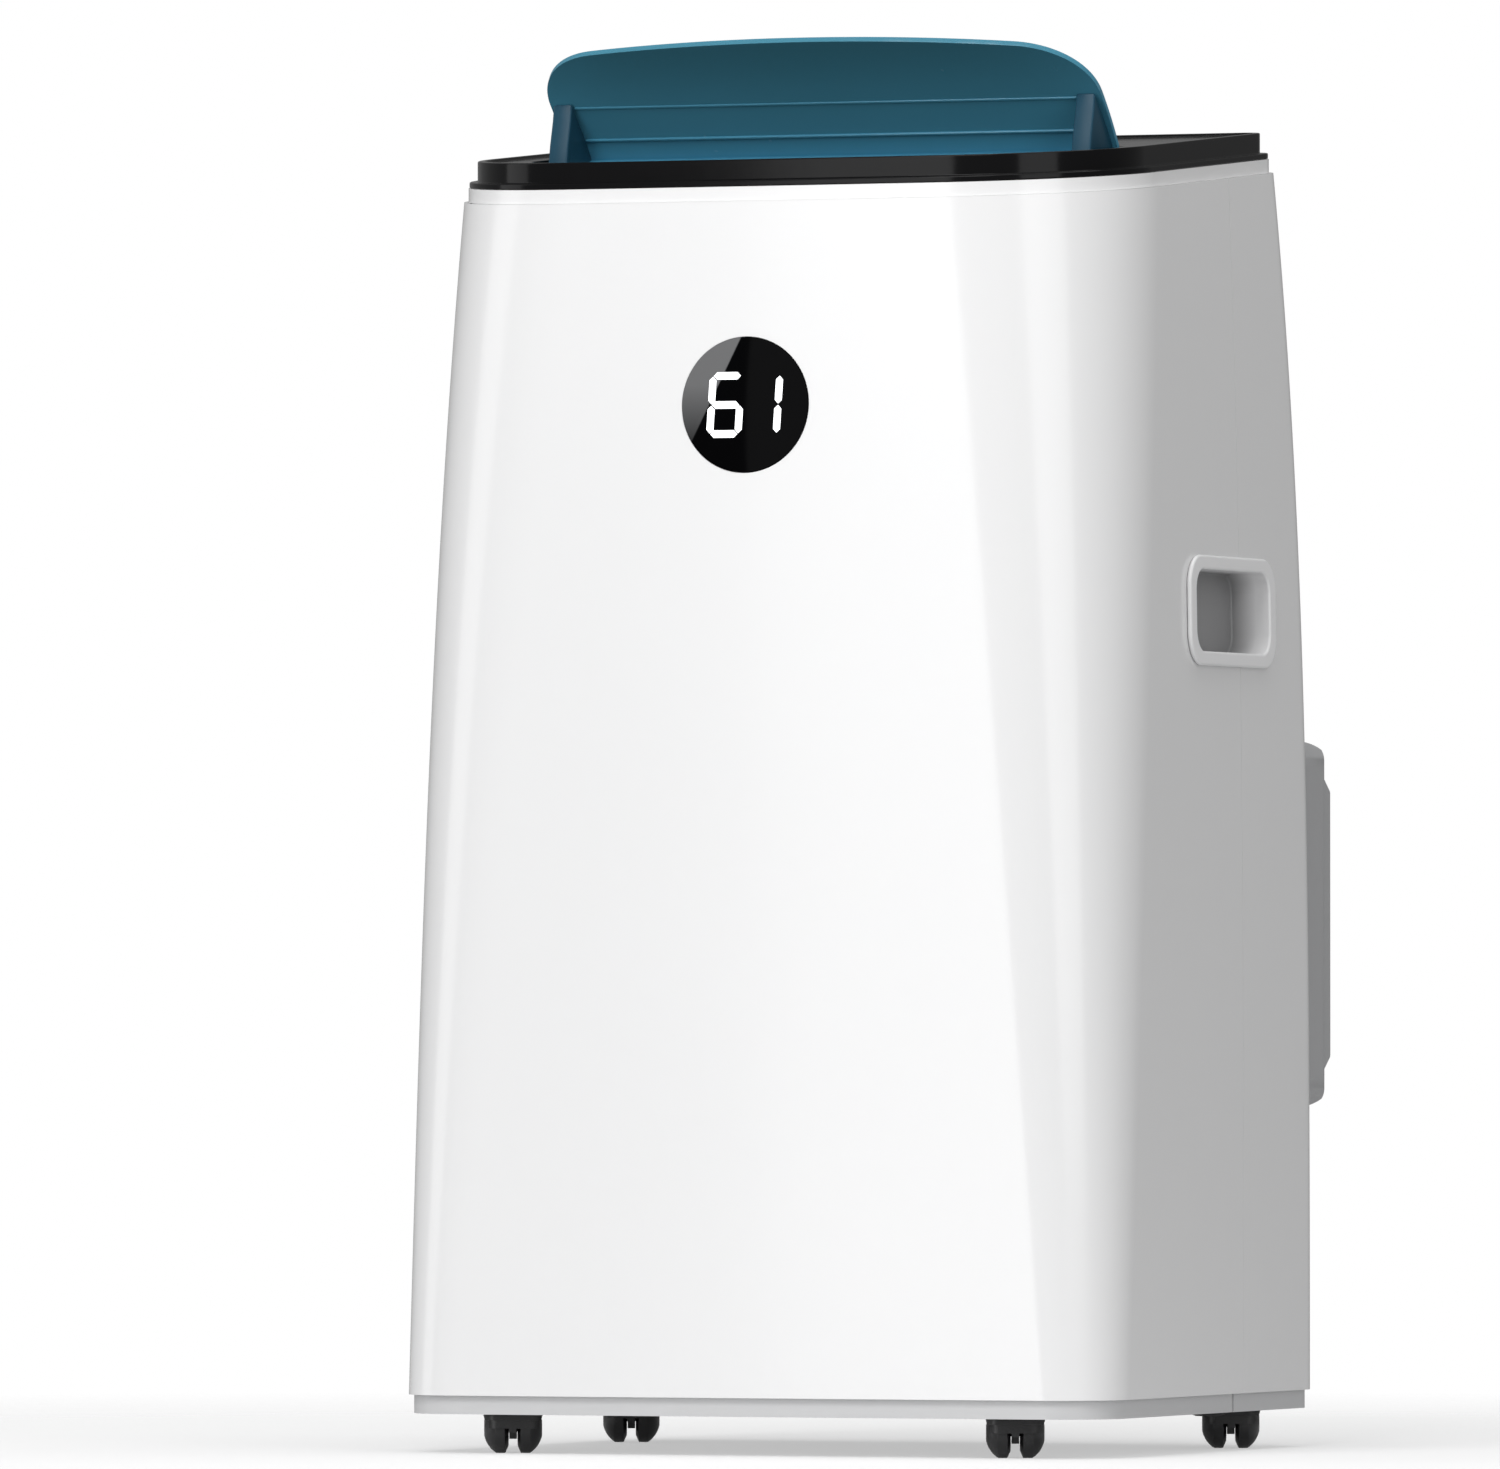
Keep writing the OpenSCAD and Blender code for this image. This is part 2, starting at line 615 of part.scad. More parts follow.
// A bar from Y 0 to l and half_w to either side, with its far corners rounded by r
module round_end(half_w, l, r) {
    block_2d(-half_w, half_w, 0, l - r);
    block_2d(r - half_w, half_w - r, 0, l);
    for (x = [r - half_w, half_w - r]) translate([x, l - r]) circle(r);
}
module block_2d(x0, x1, y0, y1) { translate([x0, y0]) square([x1 - x0, y1 - y0]); }
module hose_housing() {
    louvre_pitch = 11;
    color([0.9, 0.9, 0.9]) difference() {
        housing_body(0);
        housing_body(housing_t);
        along_y(back - 20, back - 11.9) translate([0, spigot_z])
            rounded(2*(housing_x - housing_t), housing_z1 - housing_z0 - 2*housing_t,
                    housing_round - housing_t);
        rod_y(spigot_r + 2.9, back + 10, back + 60, lower_fan_x, spigot_z);
        for (row = [0:10], col = [0:1])
            block([-housing_x + 26 + col*92, -housing_x + 110 + col*92], [back + 20, back + 60],
                  [housing_z0 + 44 + row*louvre_pitch, housing_z0 + 50 + row*louvre_pitch]);
    }
}
// The inner face of the housing's raised band
housing_face = back + housing_out + band_out - housing_t;
module hose_spigot() {
    color([0.88, 0.88, 0.88]) difference() {
        union() {
            rod_y(spigot_r + 2.5, back - 8, back + rear_out, lower_fan_x, spigot_z);
            rod_y(spigot_r + 6, housing_face - 3.2, housing_face - 0.2, lower_fan_x, spigot_z);
        }
        rod_y(spigot_r, back - 20, back + 60, lower_fan_x, spigot_z);
    }
}
module filter_grille() {
    color([0.92, 0.92, 0.92]) on_grille() difference() {
        translate([-grille_l/2, -3, -grille_h/2]) cube([grille_l, 6, grille_h]);
        for (row = [0:16], col = [-1, 1])
            translate([col*grille_l/4 - 71, -5, -grille_h/2 + 12 + row*12]) cube([142, 10, 6]);
        translate([-22, 1.2, -grille_h/2 + 2]) cube([44, 5, 7]);
    }
}
module filter_screen() {
    frame_l = grille_l - 8;
    frame_h = grille_h - 8;
    color([0.2, 0.45, 0.55]) on_grille() {
        difference() {
            translate([-frame_l/2, -8, -frame_h/2]) cube([frame_l, 4.7, frame_h]);
            for (col = [0:3]) translate([-frame_l/2 + 7 + col*(frame_l - 6)/4, -9, -frame_h/2 + 7])
                cube([(frame_l - 6)/4 - 8, 8, frame_h - 14]);
        }
        translate([-frame_l/2 + 2, -6.5, -frame_h/2 + 2]) cube([frame_l - 4, 0.8, frame_h - 4]);
    }
}

// ---- Display ----
digit_h = 32.5;
digit_w = 17;
stroke = 4.2;
digit_slant = 3;
// The corners of a digit's segments at column x (0 or 1) and row y (0 to 2)
function node_at(x, y) = [x*digit_w + y*digit_h/2*tan(digit_slant), y*digit_h/2];
// One bar between two corners, with pointed ends and a hairline gap to its neighbours
module segment(p, q) {
    along = (q - p)/norm(q - p);
    cross = [-along[1], along[0]]*stroke/2;
    a = p + along*0.35;
    b = q - along*0.35;
    polygon([a, a + cross + along*stroke/2, b + cross - along*stroke/2,
             b, b - cross - along*stroke/2, a - cross + along*stroke/2]);
}
// A digit as the list of its lit bars, each from one corner to another
module digit(bars) {
    for (bar = bars) segment(node_at(bar[0], bar[1]), node_at(bar[2], bar[3]));
}
SIX = [[0, 2, 1, 2], [0, 1, 0, 2], [0, 0, 0, 1], [0, 1, 1, 1], [1, 0, 1, 1], [0, 0, 1, 0]];
ONE = [[1, 0, 1, 1], [1, 1, 1, 2]];
module digits_2d() {
    translate([-21, -digit_h/2]) digit(SIX);
    translate([2, -digit_h/2]) digit(ONE);
}
module display_window() {
    color([0.03, 0.03, 0.03]) on_window() difference() {
        translate([0, 0, 0.3 - window_t]) cylinder(d = window_d, h = window_t);
        translate([0, 0, -0.4]) linear_extrude(2) digits_2d();
    }
}
module display_digits() {
    color("white") on_window() translate([0, 0, -0.38]) linear_extrude(0.73) digits_2d();
}
module display_board() {
    color([0.1, 0.35, 0.2]) on_window() {
        translate([0, 0, -14]) linear_extrude(1.6) rounded(70, 60, 4);
        for (x = [-27, 27], y = [-22, 22]) translate([x, y, -12.4]) cylinder(r = 3, h = 12.4 - window_t);
    }
}

// ---- Upper section: evaporator, blower and tray ----
coil_t = 40;
coil_half = side_x(1) - 26;
evap_y = back - 96;
evap_z0 = shell_top - 282;
evap_z1 = shell_top - 30;
// Finned core with a tooth for every fin, seen from above
function fins(w, d, pitch) = let (n = floor(w/pitch))
    concat([for (k = [0:n - 1]) each [[k*pitch, 0], [k*pitch + 1, 0], [k*pitch + 1, 5], [(k + 1)*pitch, 5]]],
           [for (k = [n - 1:-1:0])
            each [[(k + 1)*pitch, d - 5], [k*pitch + 1, d - 5], [k*pitch + 1, d], [k*pitch, d]]]);
module coil(x0, x1, y, z0, z1, tube_side) {
    end_t = 1.5;
    pitch = 5;
    n = floor((x1 - x0 - 2*end_t)/pitch);
    translate([x0 + end_t, y, z0 + 4]) linear_extrude(z1 - z0 - 8) polygon(fins(n*pitch, coil_t, pitch));
    block([x0, x0 + end_t + 0.5], [y - 3, y + coil_t + 3], [z0, z1]);
    block([x0 + n*pitch + end_t - 0.5, x0 + n*pitch + 2*end_t], [y - 3, y + coil_t + 3], [z0, z1]);
    rows = floor((z1 - z0 - 30)/40);
    tube_x = tube_side > 0 ? x0 + n*pitch + 2*end_t - 0.5 : x0 + 0.5;
    for (k = [0:rows - 1]) translate([tube_x, y + coil_t/2, z0 + 30 + 40*k])
        rotate([0, tube_side > 0 ? 0 : 180, 0]) u_bend();
}
module u_bend() {
    rotate([90, 0, 0]) rotate([0, 0, -90]) rotate_extrude(angle = 180) translate([10, 0]) circle(4);
}
module evaporator_coil() { color([0.8, 0.8, 0.82]) coil(-coil_half, coil_half, evap_y, evap_z0, evap_z1, 1); }
tray_z = evap_z0 - 24;
liquid_x = -coil_half + 24;
suction_x = -coil_half + 54;
pipe_y = evap_y - 30;
tray_s = share(tray_z, front);
module drip_tray() {
    color([0.35, 0.36, 0.38]) difference() {
        union() {
            translate([0, 0, tray_z]) linear_extrude(3) polygon(outline(tray_s, wall + 0.8));
            block([-coil_half - 8, coil_half + 8], [evap_y - 10, evap_y + coil_t + 8],
                  [tray_z + 2, evap_z0 + 8]);
        }
        block([-coil_half - 5.5, coil_half + 5.5], [evap_y - 7.5, evap_y + coil_t + 5.5],
              [evap_z0 - 4, evap_z0 + 20]);
        for (x = [liquid_x, suction_x]) translate([x, pipe_y, tray_z - 5]) cylinder(r = 8, h = 60);
        block([-coil_half + 4, coil_half - 4], [evap_y - 5, evap_y + coil_t + 3], [tray_z + 8, evap_z0 + 20]);
    }
    color([0.35, 0.36, 0.38]) for (x = [-coil_half + 4, 0, coil_half - 10])
        block([x, x + 6], [evap_y - 5.2, evap_y + coil_t + 3.2], [tray_z + 7.9, evap_z0 - 0.2]);
}
module scroll_2d(r, exit) {
    circle(r);
    square([r, exit]);
}
module upper_scroll() {
    t = 2.5;
    exit = scroll_exit_z - upper_fan_z;
    color([0.85, 0.86, 0.88]) translate([upper_fan_x, 0, upper_fan_z]) difference() {
        union() {
            along_y(scroll_y0, scroll_y1) scroll_2d(scroll_r, exit - 0.3);
            for (x = [-foot_x, foot_x])
                block([x - 8, x + 8], [scroll_y0, scroll_y1], [tray_z + 3.2 - upper_fan_z, -scroll_r/2]);
        }
        along_y(scroll_y0 + t, scroll_y1 - t) difference() {
            scroll_2d(scroll_r - t, exit + 10);
            translate([-t, scroll_r - t - 2]) square([t, 60]);
        }
        rod_y(upper_fan_r - 16, scroll_y1 - 5, scroll_y1 + 5, 0, 0);
        rod_y(30, scroll_y0 - 5, scroll_y0 + 5, 0, 0);
    }
}
// A squirrel-cage wheel on the Z axis: hub, back disc, blades and end ring, with its shaft below
module cage(r, depth, blades, shaft) {
    depth_in = 13;
    cylinder(r = r, h = 2);
    cylinder(r = 12, h = depth*0.45);
    translate([0, 0, depth - 3]) difference() {
        cylinder(r = r, h = 3);
        translate([0, 0, -1]) cylinder(r = r - depth_in, h = 5);
    }
    translate([0, 0, 1]) linear_extrude(depth - 3) for (k = [0:blades - 1]) rotate(k*360/blades)
        translate([r - depth_in + 1, 0]) rotate(35) square([depth_in - 1, 1.4]);
    translate([0, 0, -shaft]) cylinder(r = 4, h = shaft + 1);
}
fan_gap = 7;
module upper_impeller() {
    color([0.25, 0.26, 0.28]) translate([upper_fan_x, scroll_y0 + fan_gap, upper_fan_z]) rotate([-90, 0, 0])
        cage(upper_fan_r, scroll_y1 - scroll_y0 - 2*fan_gap, 30, 26);
}
module upper_motor() {
    y0 = scroll_y0 - 46;
    color([0.55, 0.56, 0.58]) difference() {
        union() {
            rod_y(40, y0 + 4, y0 + 42, upper_fan_x, upper_fan_z);
            rod_y(14, y0 + 1, y0 + 46, upper_fan_x, upper_fan_z);
            for (a = [45:90:315]) translate([upper_fan_x, 0, upper_fan_z]) rotate([0, a, 0])
                block([34, 58], [y0 + 42.2, y0 + 45.9], [-7, 7]);
            rod_y(48, y0 + 40, y0 + 43, upper_fan_x, upper_fan_z);
        }
        rod_y(4 + run, y0 + 15, scroll_y0 + 10, upper_fan_x, upper_fan_z);
    }
}
module lidded_box(x, y, z) {
    block(x, y, z);
    block([x[0] - 1.2, x[1] + 1.2], [y[0] - 1.2, y[1] + 1.2], [z[1] - 22, z[1] - 19]);
}
box_x = side_x(1) - wall - 8;
module control_box() {
    z0 = tray_z + 3.2;
    color([0.6, 0.61, 0.63]) {
        lidded_box([box_x - 48, box_x - 2], [front + 70, front + 130], [z0, z0 + 180]);
        for (k = [0, 1]) translate([box_x - 25, front + 86 + 30*k, z0 + 179]) cylinder(r = 12, h = 26);
    }
}

// ---- Lower section: condenser, blower, compressor and slinger ----
cond_y = back - 64;
cond_x0 = -cabinet_w/2 + 26;
cond_x1 = lower_fan_x - lower_case_w/2 - 26;
cond_z0 = 64;
foot_y = lower_case_r*0.6;
module condenser_coil() { color([0.8, 0.8, 0.82]) coil(cond_x0, cond_x1, cond_y, cond_z0, tray_z - 12, -1); }
module lower_2d(r, exit) {
    circle(r);
    block_2d(0, exit, 0, r);
}
module lower_scroll() {
    t = 2.5;
    exit = back - 8.5 - lower_fan_y;
    color([0.3, 0.31, 0.33]) translate([lower_fan_x, lower_fan_y, lower_fan_z]) difference() {
        union() {
            along_x(-lower_case_w/2, lower_case_w/2) lower_2d(lower_case_r, exit);
            for (y = [-foot_y, foot_y])
                block([-lower_case_w/2, lower_case_w/2], [y - 6, y + 6],
                      [base_foot + 3.2 - lower_fan_z, -lower_case_r/2]);
        }
        along_x(t - lower_case_w/2, lower_case_w/2 - t) lower_2d(lower_case_r - t, exit + 10);
        rod_x(lower_fan_r - 14, -lower_case_w/2 - 5, -lower_case_w/2 + 5, 0, 0);
        rod_x(30, lower_case_w/2 - 5, lower_case_w/2 + 5, 0, 0);
    }
}
module lower_impeller() {
    color([0.25, 0.26, 0.28])
        translate([lower_fan_x + lower_case_w/2 - fan_gap, lower_fan_y, lower_fan_z]) rotate([0, -90, 0])
        cage(lower_fan_r, lower_case_w - 2*fan_gap, 28, 24);
}
module lower_motor() {
    x0 = lower_fan_x + lower_case_w/2;
    color([0.55, 0.56, 0.58]) difference() {
        union() {
            rod_x(36, x0 + 3, x0 + 36, lower_fan_y, lower_fan_z);
            rod_x(46, x0 + 0.3, x0 + 3.2, lower_fan_y, lower_fan_z);
            rod_x(13, x0, x0 + 40, lower_fan_y, lower_fan_z);
        }
        rod_x(4 + run, x0 - 10, x0 + 30, lower_fan_y, lower_fan_z);
    }
}
comp_r = 56;
comp_x = -cabinet_w/2 + 104;
comp_y = front + 120;
comp_z0 = 50;
comp_h = 236;
module compressor() {
    dome = 16;
    color([0.12, 0.12, 0.13]) translate([comp_x, comp_y, comp_z0]) {
        rotate_extrude() intersection() {
            square([comp_r, comp_h]);
            union() {
                translate([0, dome]) square([comp_r, comp_h - 2*dome]);
                for (z = [110, comp_h - 110]) translate([0, z]) circle(110, $fn = 180);
            }
        }
        difference() {
            translate([0, 0, 8]) linear_extrude(4)
                for (a = [90:120:330]) rotate(a) translate([0, -15]) square([78, 30]);
            for (a = [90:120:330]) rotate(a) translate([66, 0, 0]) cylinder(r = 7, h = 20);
        }
        translate([comp_r + 26, 8, 60]) {
            cylinder(r = 22, h = 150);
            translate([-30, -5, 40]) cube([20, 10, 8]);
            translate([0, 0, 149]) cylinder(r1 = 22, r2 = 6, h = 14);
        }
        translate([0, 0, comp_h - 4]) cylinder(r = 16, h = 22);
    }
}
module compressor_mounts() {
    color([0.08, 0.08, 0.08]) for (a = [90:120:330])
        translate([comp_x, comp_y, 0]) rotate(a) translate([66, 0, base_foot + 3]) {
        cylinder(r = 10, h = comp_z0 + 8 - base_foot - 3);
        cylinder(r = 6.9, h = comp_z0 + 14 - base_foot - 3);
        translate([0, 0, comp_z0 + 12.2 - base_foot - 3]) cylinder(r = 9.5, h = 3);
    }
}
module pipe(points, r) {
    for (k = [0:len(points) - 2]) {
        d = points[k + 1] - points[k];
        translate(points[k]) rotate([0, acos(d[2]/norm(d)), atan2(d[1], d[0])]) cylinder(r = r, h = norm(d));
        if (k > 0) translate(points[k]) sphere(r + 0.8);
    }
}
module refrigerant_pipes() {
    head_z = comp_z0 + comp_h + 40;
    tank = [comp_x + comp_r + 26, comp_y + 8];
    hot_x = (liquid_x + suction_x)/2;
    color([0.72, 0.42, 0.25]) {
        pipe([[comp_x, comp_y, comp_z0 + comp_h + 18.2], [comp_x, comp_y, head_z + 14],
              [hot_x, pipe_y - 30, head_z + 14], [hot_x, pipe_y - 30, cond_z0 + 230],
              [hot_x, cond_y - 3.3, cond_z0 + 230]], 4);
        pipe([[tank[0], tank[1], comp_z0 + 223.3], [tank[0], tank[1], head_z], [suction_x, pipe_y, head_z],
              [suction_x, pipe_y, evap_z0 + 60], [suction_x, evap_y - 0.3, evap_z0 + 60]], 5);
        pipe([[liquid_x, cond_y - 3.3, cond_z0 + 190], [liquid_x, pipe_y, cond_z0 + 190],
              [liquid_x, pipe_y, evap_z0 + 30], [liquid_x, evap_y - 0.3, evap_z0 + 30]], 3);
    }
}
sling_x = (cond_x0 + cond_x1)/2 + 40;
sling_z = 92;
sling_y = cond_y - 26;
module slinger_wheel() {
    color([0.85, 0.85, 0.85]) translate([sling_x, sling_y, sling_z]) {
        difference() {
            rod_y(46, 0, 10, 0, 0);
            rod_y(40, 2, 12, 0, 0);
        }
        for (a = [0:30:330]) rotate([0, a, 0]) block([8, 41], [1, 9], [-0.8, 0.8]);
        rod_y(9, 0, 9, 0, 0);
        rod_y(3, -22, 2, 0, 0);
    }
}
module slinger_motor() {
    color([0.55, 0.56, 0.58]) difference() {
        union() {
            rod_y(20, sling_y - 40, sling_y - 8, sling_x, sling_z);
            rod_y(7, sling_y - 10, sling_y - 3, sling_x, sling_z);
            block([sling_x - 16, sling_x + 16], [sling_y - 36, sling_y - 12],
                  [base_foot + 3.2, sling_z - 10]);
        }
        rod_y(3 + run, sling_y - 26, sling_y, sling_x, sling_z);
    }
}

// ---- Casters ----
module at_caster(p) { translate([p[0], p[1], 0]) rotate([0, 0, caster_turn]) children(); }
module caster(p) {
    axle_y = -caster_trail;
    hood_top = 31;
    color([0.06, 0.06, 0.06]) at_caster(p) {
        difference() {
            union() {
                translate([0, axle_y, 8]) linear_extrude(hood_top - 8) rounded(33, 33, 8);
                translate([0, axle_y, base_foot - 3.3]) linear_extrude(3) rounded(35, 34, 8);
            }
            for (side = [0, 1]) mirror([side, 0, 0]) {
                rod_x(wheel_r + 0.8, 2.1, 20, axle_y, wheel_r);
                block([2.1, 20], [axle_y - 20, axle_y + 20], [0, wheel_r]);
            }
            block([-20, 20], [axle_y - 20, axle_y - 4], [0, wheel_r - 2.2]);
            block([-20, 20], [axle_y + 4, axle_y + 20], [0, wheel_r - 2.2]);
        }
        rod_x(2, -15, 15, axle_y, wheel_r);
        translate([0, 0, hood_top - 0.5]) cylinder(r = stem_r, h = stem_top - hood_top);
    }
}
// Domed twin wheels on one axle: r is a wheel's radius at distance x from the middle
module wheels(p) {
    inner = 2.6;
    outer = 16.2;
    tread = 9.4;
    a0 = 25;
    a1 = 73;
    dome = [for (k = [0:6]) let (a = a0 + k*(a1 - a0)/6)
            [wheel_r*cos(a)/cos(a0), tread + (outer - tread)*(sin(a) - sin(a0))/(sin(a1) - sin(a0))]];
    hub = [[2 + run, outer], [2 + run, inner], [wheel_r - 4, inner], [wheel_r, inner + 1.8]];
    color([0.1, 0.1, 0.1]) at_caster(p) translate([0, -caster_trail, wheel_r])
        for (side = [0, 1]) mirror([side, 0, 0]) rotate([0, 90, 0]) rotate_extrude()
            polygon(concat(hub, dome));
}

front_shell();
rear_shell();
top_collar();
top_cover();
base_pan();
base_pads();
handle(-1);  // handle_left
handle(1);  // handle_right
display_window();
display_digits();
display_board();
control_panel();
control_board();
hose_housing();
hose_spigot();
outlet_duct();
vane_rail();
vane_motor();
flap_bracket();
flap_motor();
evaporator_coil();
drip_tray();
upper_scroll();
upper_motor();
condenser_coil();
lower_scroll();
lower_motor();
compressor();
compressor_mounts();
refrigerant_pipes();
control_box();
slinger_motor();
cord_gland();
casing_screws();
flap();
flap_pins();
vane(1);  // vane_1
vane(2);  // vane_2
vane(3);  // vane_3
vane(4);  // vane_4
vane(5);  // vane_5
vane_link();
upper_impeller();
lower_impeller();
slinger_wheel();
filter_grille();
filter_screen();
button(0);  // button_power
button(1);  // button_mode
button(2);  // button_down
button(3);  // button_up
drain_cap();
caster(stems[0]);  // caster_front_left
caster(stems[1]);  // caster_front_right
caster(stems[2]);  // caster_rear_left
caster(stems[3]);  // caster_rear_right
wheels(stems[0]);  // wheels_front_left
wheels(stems[1]);  // wheels_front_right
wheels(stems[2]);  // wheels_rear_left
wheels(stems[3]);  // wheels_rear_right
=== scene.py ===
# %% [markdown]
# # A portable air conditioner, dressed for the camera
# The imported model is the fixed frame: every part is already at its place, in metres, with +Z up and
# the display facing -Y. This lesson builds the skins and finishes around that frame, cell by cell.

import json
import math

import bpy
from mathutils import Matrix, Vector


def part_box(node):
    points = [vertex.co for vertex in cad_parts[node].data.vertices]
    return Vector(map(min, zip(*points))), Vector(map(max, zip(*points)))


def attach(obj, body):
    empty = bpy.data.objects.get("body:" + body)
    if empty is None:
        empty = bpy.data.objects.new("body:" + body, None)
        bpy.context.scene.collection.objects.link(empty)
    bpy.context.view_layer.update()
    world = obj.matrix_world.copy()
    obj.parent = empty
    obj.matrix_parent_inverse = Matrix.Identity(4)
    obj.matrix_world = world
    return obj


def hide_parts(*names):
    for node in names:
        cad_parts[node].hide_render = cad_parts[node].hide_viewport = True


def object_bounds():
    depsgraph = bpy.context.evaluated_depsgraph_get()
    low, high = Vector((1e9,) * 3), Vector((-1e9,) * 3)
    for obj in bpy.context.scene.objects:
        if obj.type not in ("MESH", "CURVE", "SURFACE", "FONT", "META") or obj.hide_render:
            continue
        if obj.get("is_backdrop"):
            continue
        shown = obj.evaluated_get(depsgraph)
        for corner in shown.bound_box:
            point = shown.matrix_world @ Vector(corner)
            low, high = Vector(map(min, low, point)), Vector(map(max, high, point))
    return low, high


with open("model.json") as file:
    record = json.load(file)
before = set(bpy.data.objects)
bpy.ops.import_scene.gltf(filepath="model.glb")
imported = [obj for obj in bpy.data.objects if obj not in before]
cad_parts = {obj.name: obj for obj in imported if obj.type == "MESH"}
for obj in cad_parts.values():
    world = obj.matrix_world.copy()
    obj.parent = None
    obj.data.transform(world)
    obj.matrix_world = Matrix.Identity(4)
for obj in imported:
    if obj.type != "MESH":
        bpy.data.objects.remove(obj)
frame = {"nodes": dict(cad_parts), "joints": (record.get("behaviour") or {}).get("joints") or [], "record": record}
cad_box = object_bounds()
JOINTS = {joint["name"]: joint for joint in frame["joints"]}

# %% [markdown]
# ## Camera
# The view is a long-lens product shot: far away, nearly level with the lower third of the cabinet and
# turned so that the right side shows as a narrow strip. It could be framed with lens shift, but shift
# stays with the camera in other views, so the camera is aimed with a small turn and tilt instead.

# %% Camera
MM = 0.001
SENSOR_MM = 36
LENS_MM = 409.03
VIEW_TURN = math.radians(21.57)
CAMERA_DISTANCE = 9656*MM
CAMERA_HEIGHT = 241*MM
AIM_LEFT = math.radians(0.3637)
AIM_UP = math.radians(0.9718)

cabinet_low, cabinet_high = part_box("front_shell")[0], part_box("rear_shell")[1]
cabinet_middle = (cabinet_low.y + cabinet_high.y)/2
camera = bpy.data.objects.new("camera", bpy.data.cameras.new("camera"))
camera.data.sensor_width = SENSOR_MM
camera.data.lens = LENS_MM
camera.location = (CAMERA_DISTANCE*math.sin(VIEW_TURN),
                   cabinet_middle - CAMERA_DISTANCE*math.cos(VIEW_TURN), CAMERA_HEIGHT)
camera.rotation_euler = (math.pi/2 + AIM_UP, 0, VIEW_TURN + AIM_LEFT)
bpy.context.scene.collection.objects.link(camera)
bpy.context.scene.camera = camera
bpy.context.scene.view_settings.view_transform = "Standard"
print("camera at", [round(v, 3) for v in camera.location], "lens", round(camera.data.lens))

# %% [markdown]
# ## Shader arithmetic
# A finish is easier to read as an expression than as a tangle of Math nodes. `Signal` wraps one output
# socket and turns `+ - * /` into Math nodes, in both orders. `Finish` owns a material and adds any
# other node with one method.

# %% Signal and Finish
class Signal:
    """One value of a material's node tree, with arithmetic."""

    def __init__(self, finish, socket):
        self.finish, self.socket = finish, socket

    def math(self, kind, first, second):
        return self.finish.add("ShaderNodeMath", {"operation": kind}, {0: first, 1: second})

    def __add__(self, other): return self.math("ADD", self, other)
    def __radd__(self, other): return self.math("ADD", other, self)
    def __sub__(self, other): return self.math("SUBTRACT", self, other)
    def __rsub__(self, other): return self.math("SUBTRACT", other, self)
    def __mul__(self, other): return self.math("MULTIPLY", self, other)
    def __rmul__(self, other): return self.math("MULTIPLY", other, self)
    def __truediv__(self, other): return self.math("DIVIDE", self, other)
    def below(self, level): return self.math("LESS_THAN", self, level)
    def size(self): return self.math("ABSOLUTE", self, 0.0)


class Finish:
    """A material with one Principled shader."""

    def __init__(self, name, **sockets):
        self.material = bpy.data.materials.new(name)
        self.material.use_nodes = True
        self.tree = self.material.node_tree
        self.shader = self.tree.nodes["Principled BSDF"]
        for socket, value in sockets.items():
            self.feed(self.shader, socket.replace("_", " "), value)

    def feed(self, node, socket, value):
        target = node.inputs[socket]
        if isinstance(value, Signal):
            self.tree.links.new(value.socket, target)
        elif hasattr(target.default_value, "__len__"):
            target.default_value = tuple(value) + (1,)*(len(target.default_value) - len(value))
        else:
            target.default_value = value

    def add(self, kind, settings=None, sockets=None, out=0):
        """Any other node: its settings first, then its inputs; returns one of its outputs."""
        node = self.tree.nodes.new(kind)
        for name, value in (settings or {}).items():
            if name == "stops":
                for k, (place, color) in enumerate(value):
                    stop = node.color_ramp.elements[k] if k < 2 else node.color_ramp.elements.new(place)
                    stop.position, stop.color = place, tuple(color) + (1,)
            else:
                setattr(node, name, value)
        for socket, value in (sockets or {}).items():
            self.feed(node, socket, value)
        return Signal(self, node.outputs[out])

    def place(self):
        return self.add("ShaderNodeTexCoord", out="Object")

    def axis(self, letter):
        return self.add("ShaderNodeSeparateXYZ", {}, {0: self.place()}, out=letter)

    def noise(self, scale, detail=2.0, stretch=(1, 1, 1)):
        spot = self.add("ShaderNodeMapping", {}, {"Vector": self.place(), "Scale": stretch})
        return self.add("ShaderNodeTexNoise", {}, {"Vector": spot, "Scale": scale, "Detail": detail})

    def stripes(self, direction, ripple):
        """Even bands along one axis. The texture is a sine of 20 times the place, so they repeat every
        2*pi ripples."""
        sockets = {"Vector": self.place(), "Scale": 1/ripple/20}
        return self.add("ShaderNodeTexWave", {"bands_direction": direction}, sockets)

    def ramp(self, value, stops):
        return self.add("ShaderNodeValToRGB", {"stops": stops}, {"Fac": value})

    def mix(self, share, first, second):
        settings = {"data_type": "RGBA"}
        return self.add("ShaderNodeMix", settings, {"Factor": share, "A": first, "B": second}, out="Result")

    def set(self, **sockets):
        for socket, value in sockets.items():
            self.feed(self.shader, socket.replace("_", " "), value)

    def bump(self, height, depth, strength=1.0):
        normal = self.add("ShaderNodeBump", {}, {"Height": height, "Distance": depth, "Strength": strength})
        self.set(Normal=normal)

# %% [markdown]
# ## Finishes
# Moulded plastic is never one flat colour: the sheet drifts a little in tone, the polish varies, and a
# very fine ripple breaks up reflections. One function makes every moulded finish from those three
# things, so glossy white, satin grey and rubber differ only in their numbers.

# %% Moulded plastics
FINISHES = {}


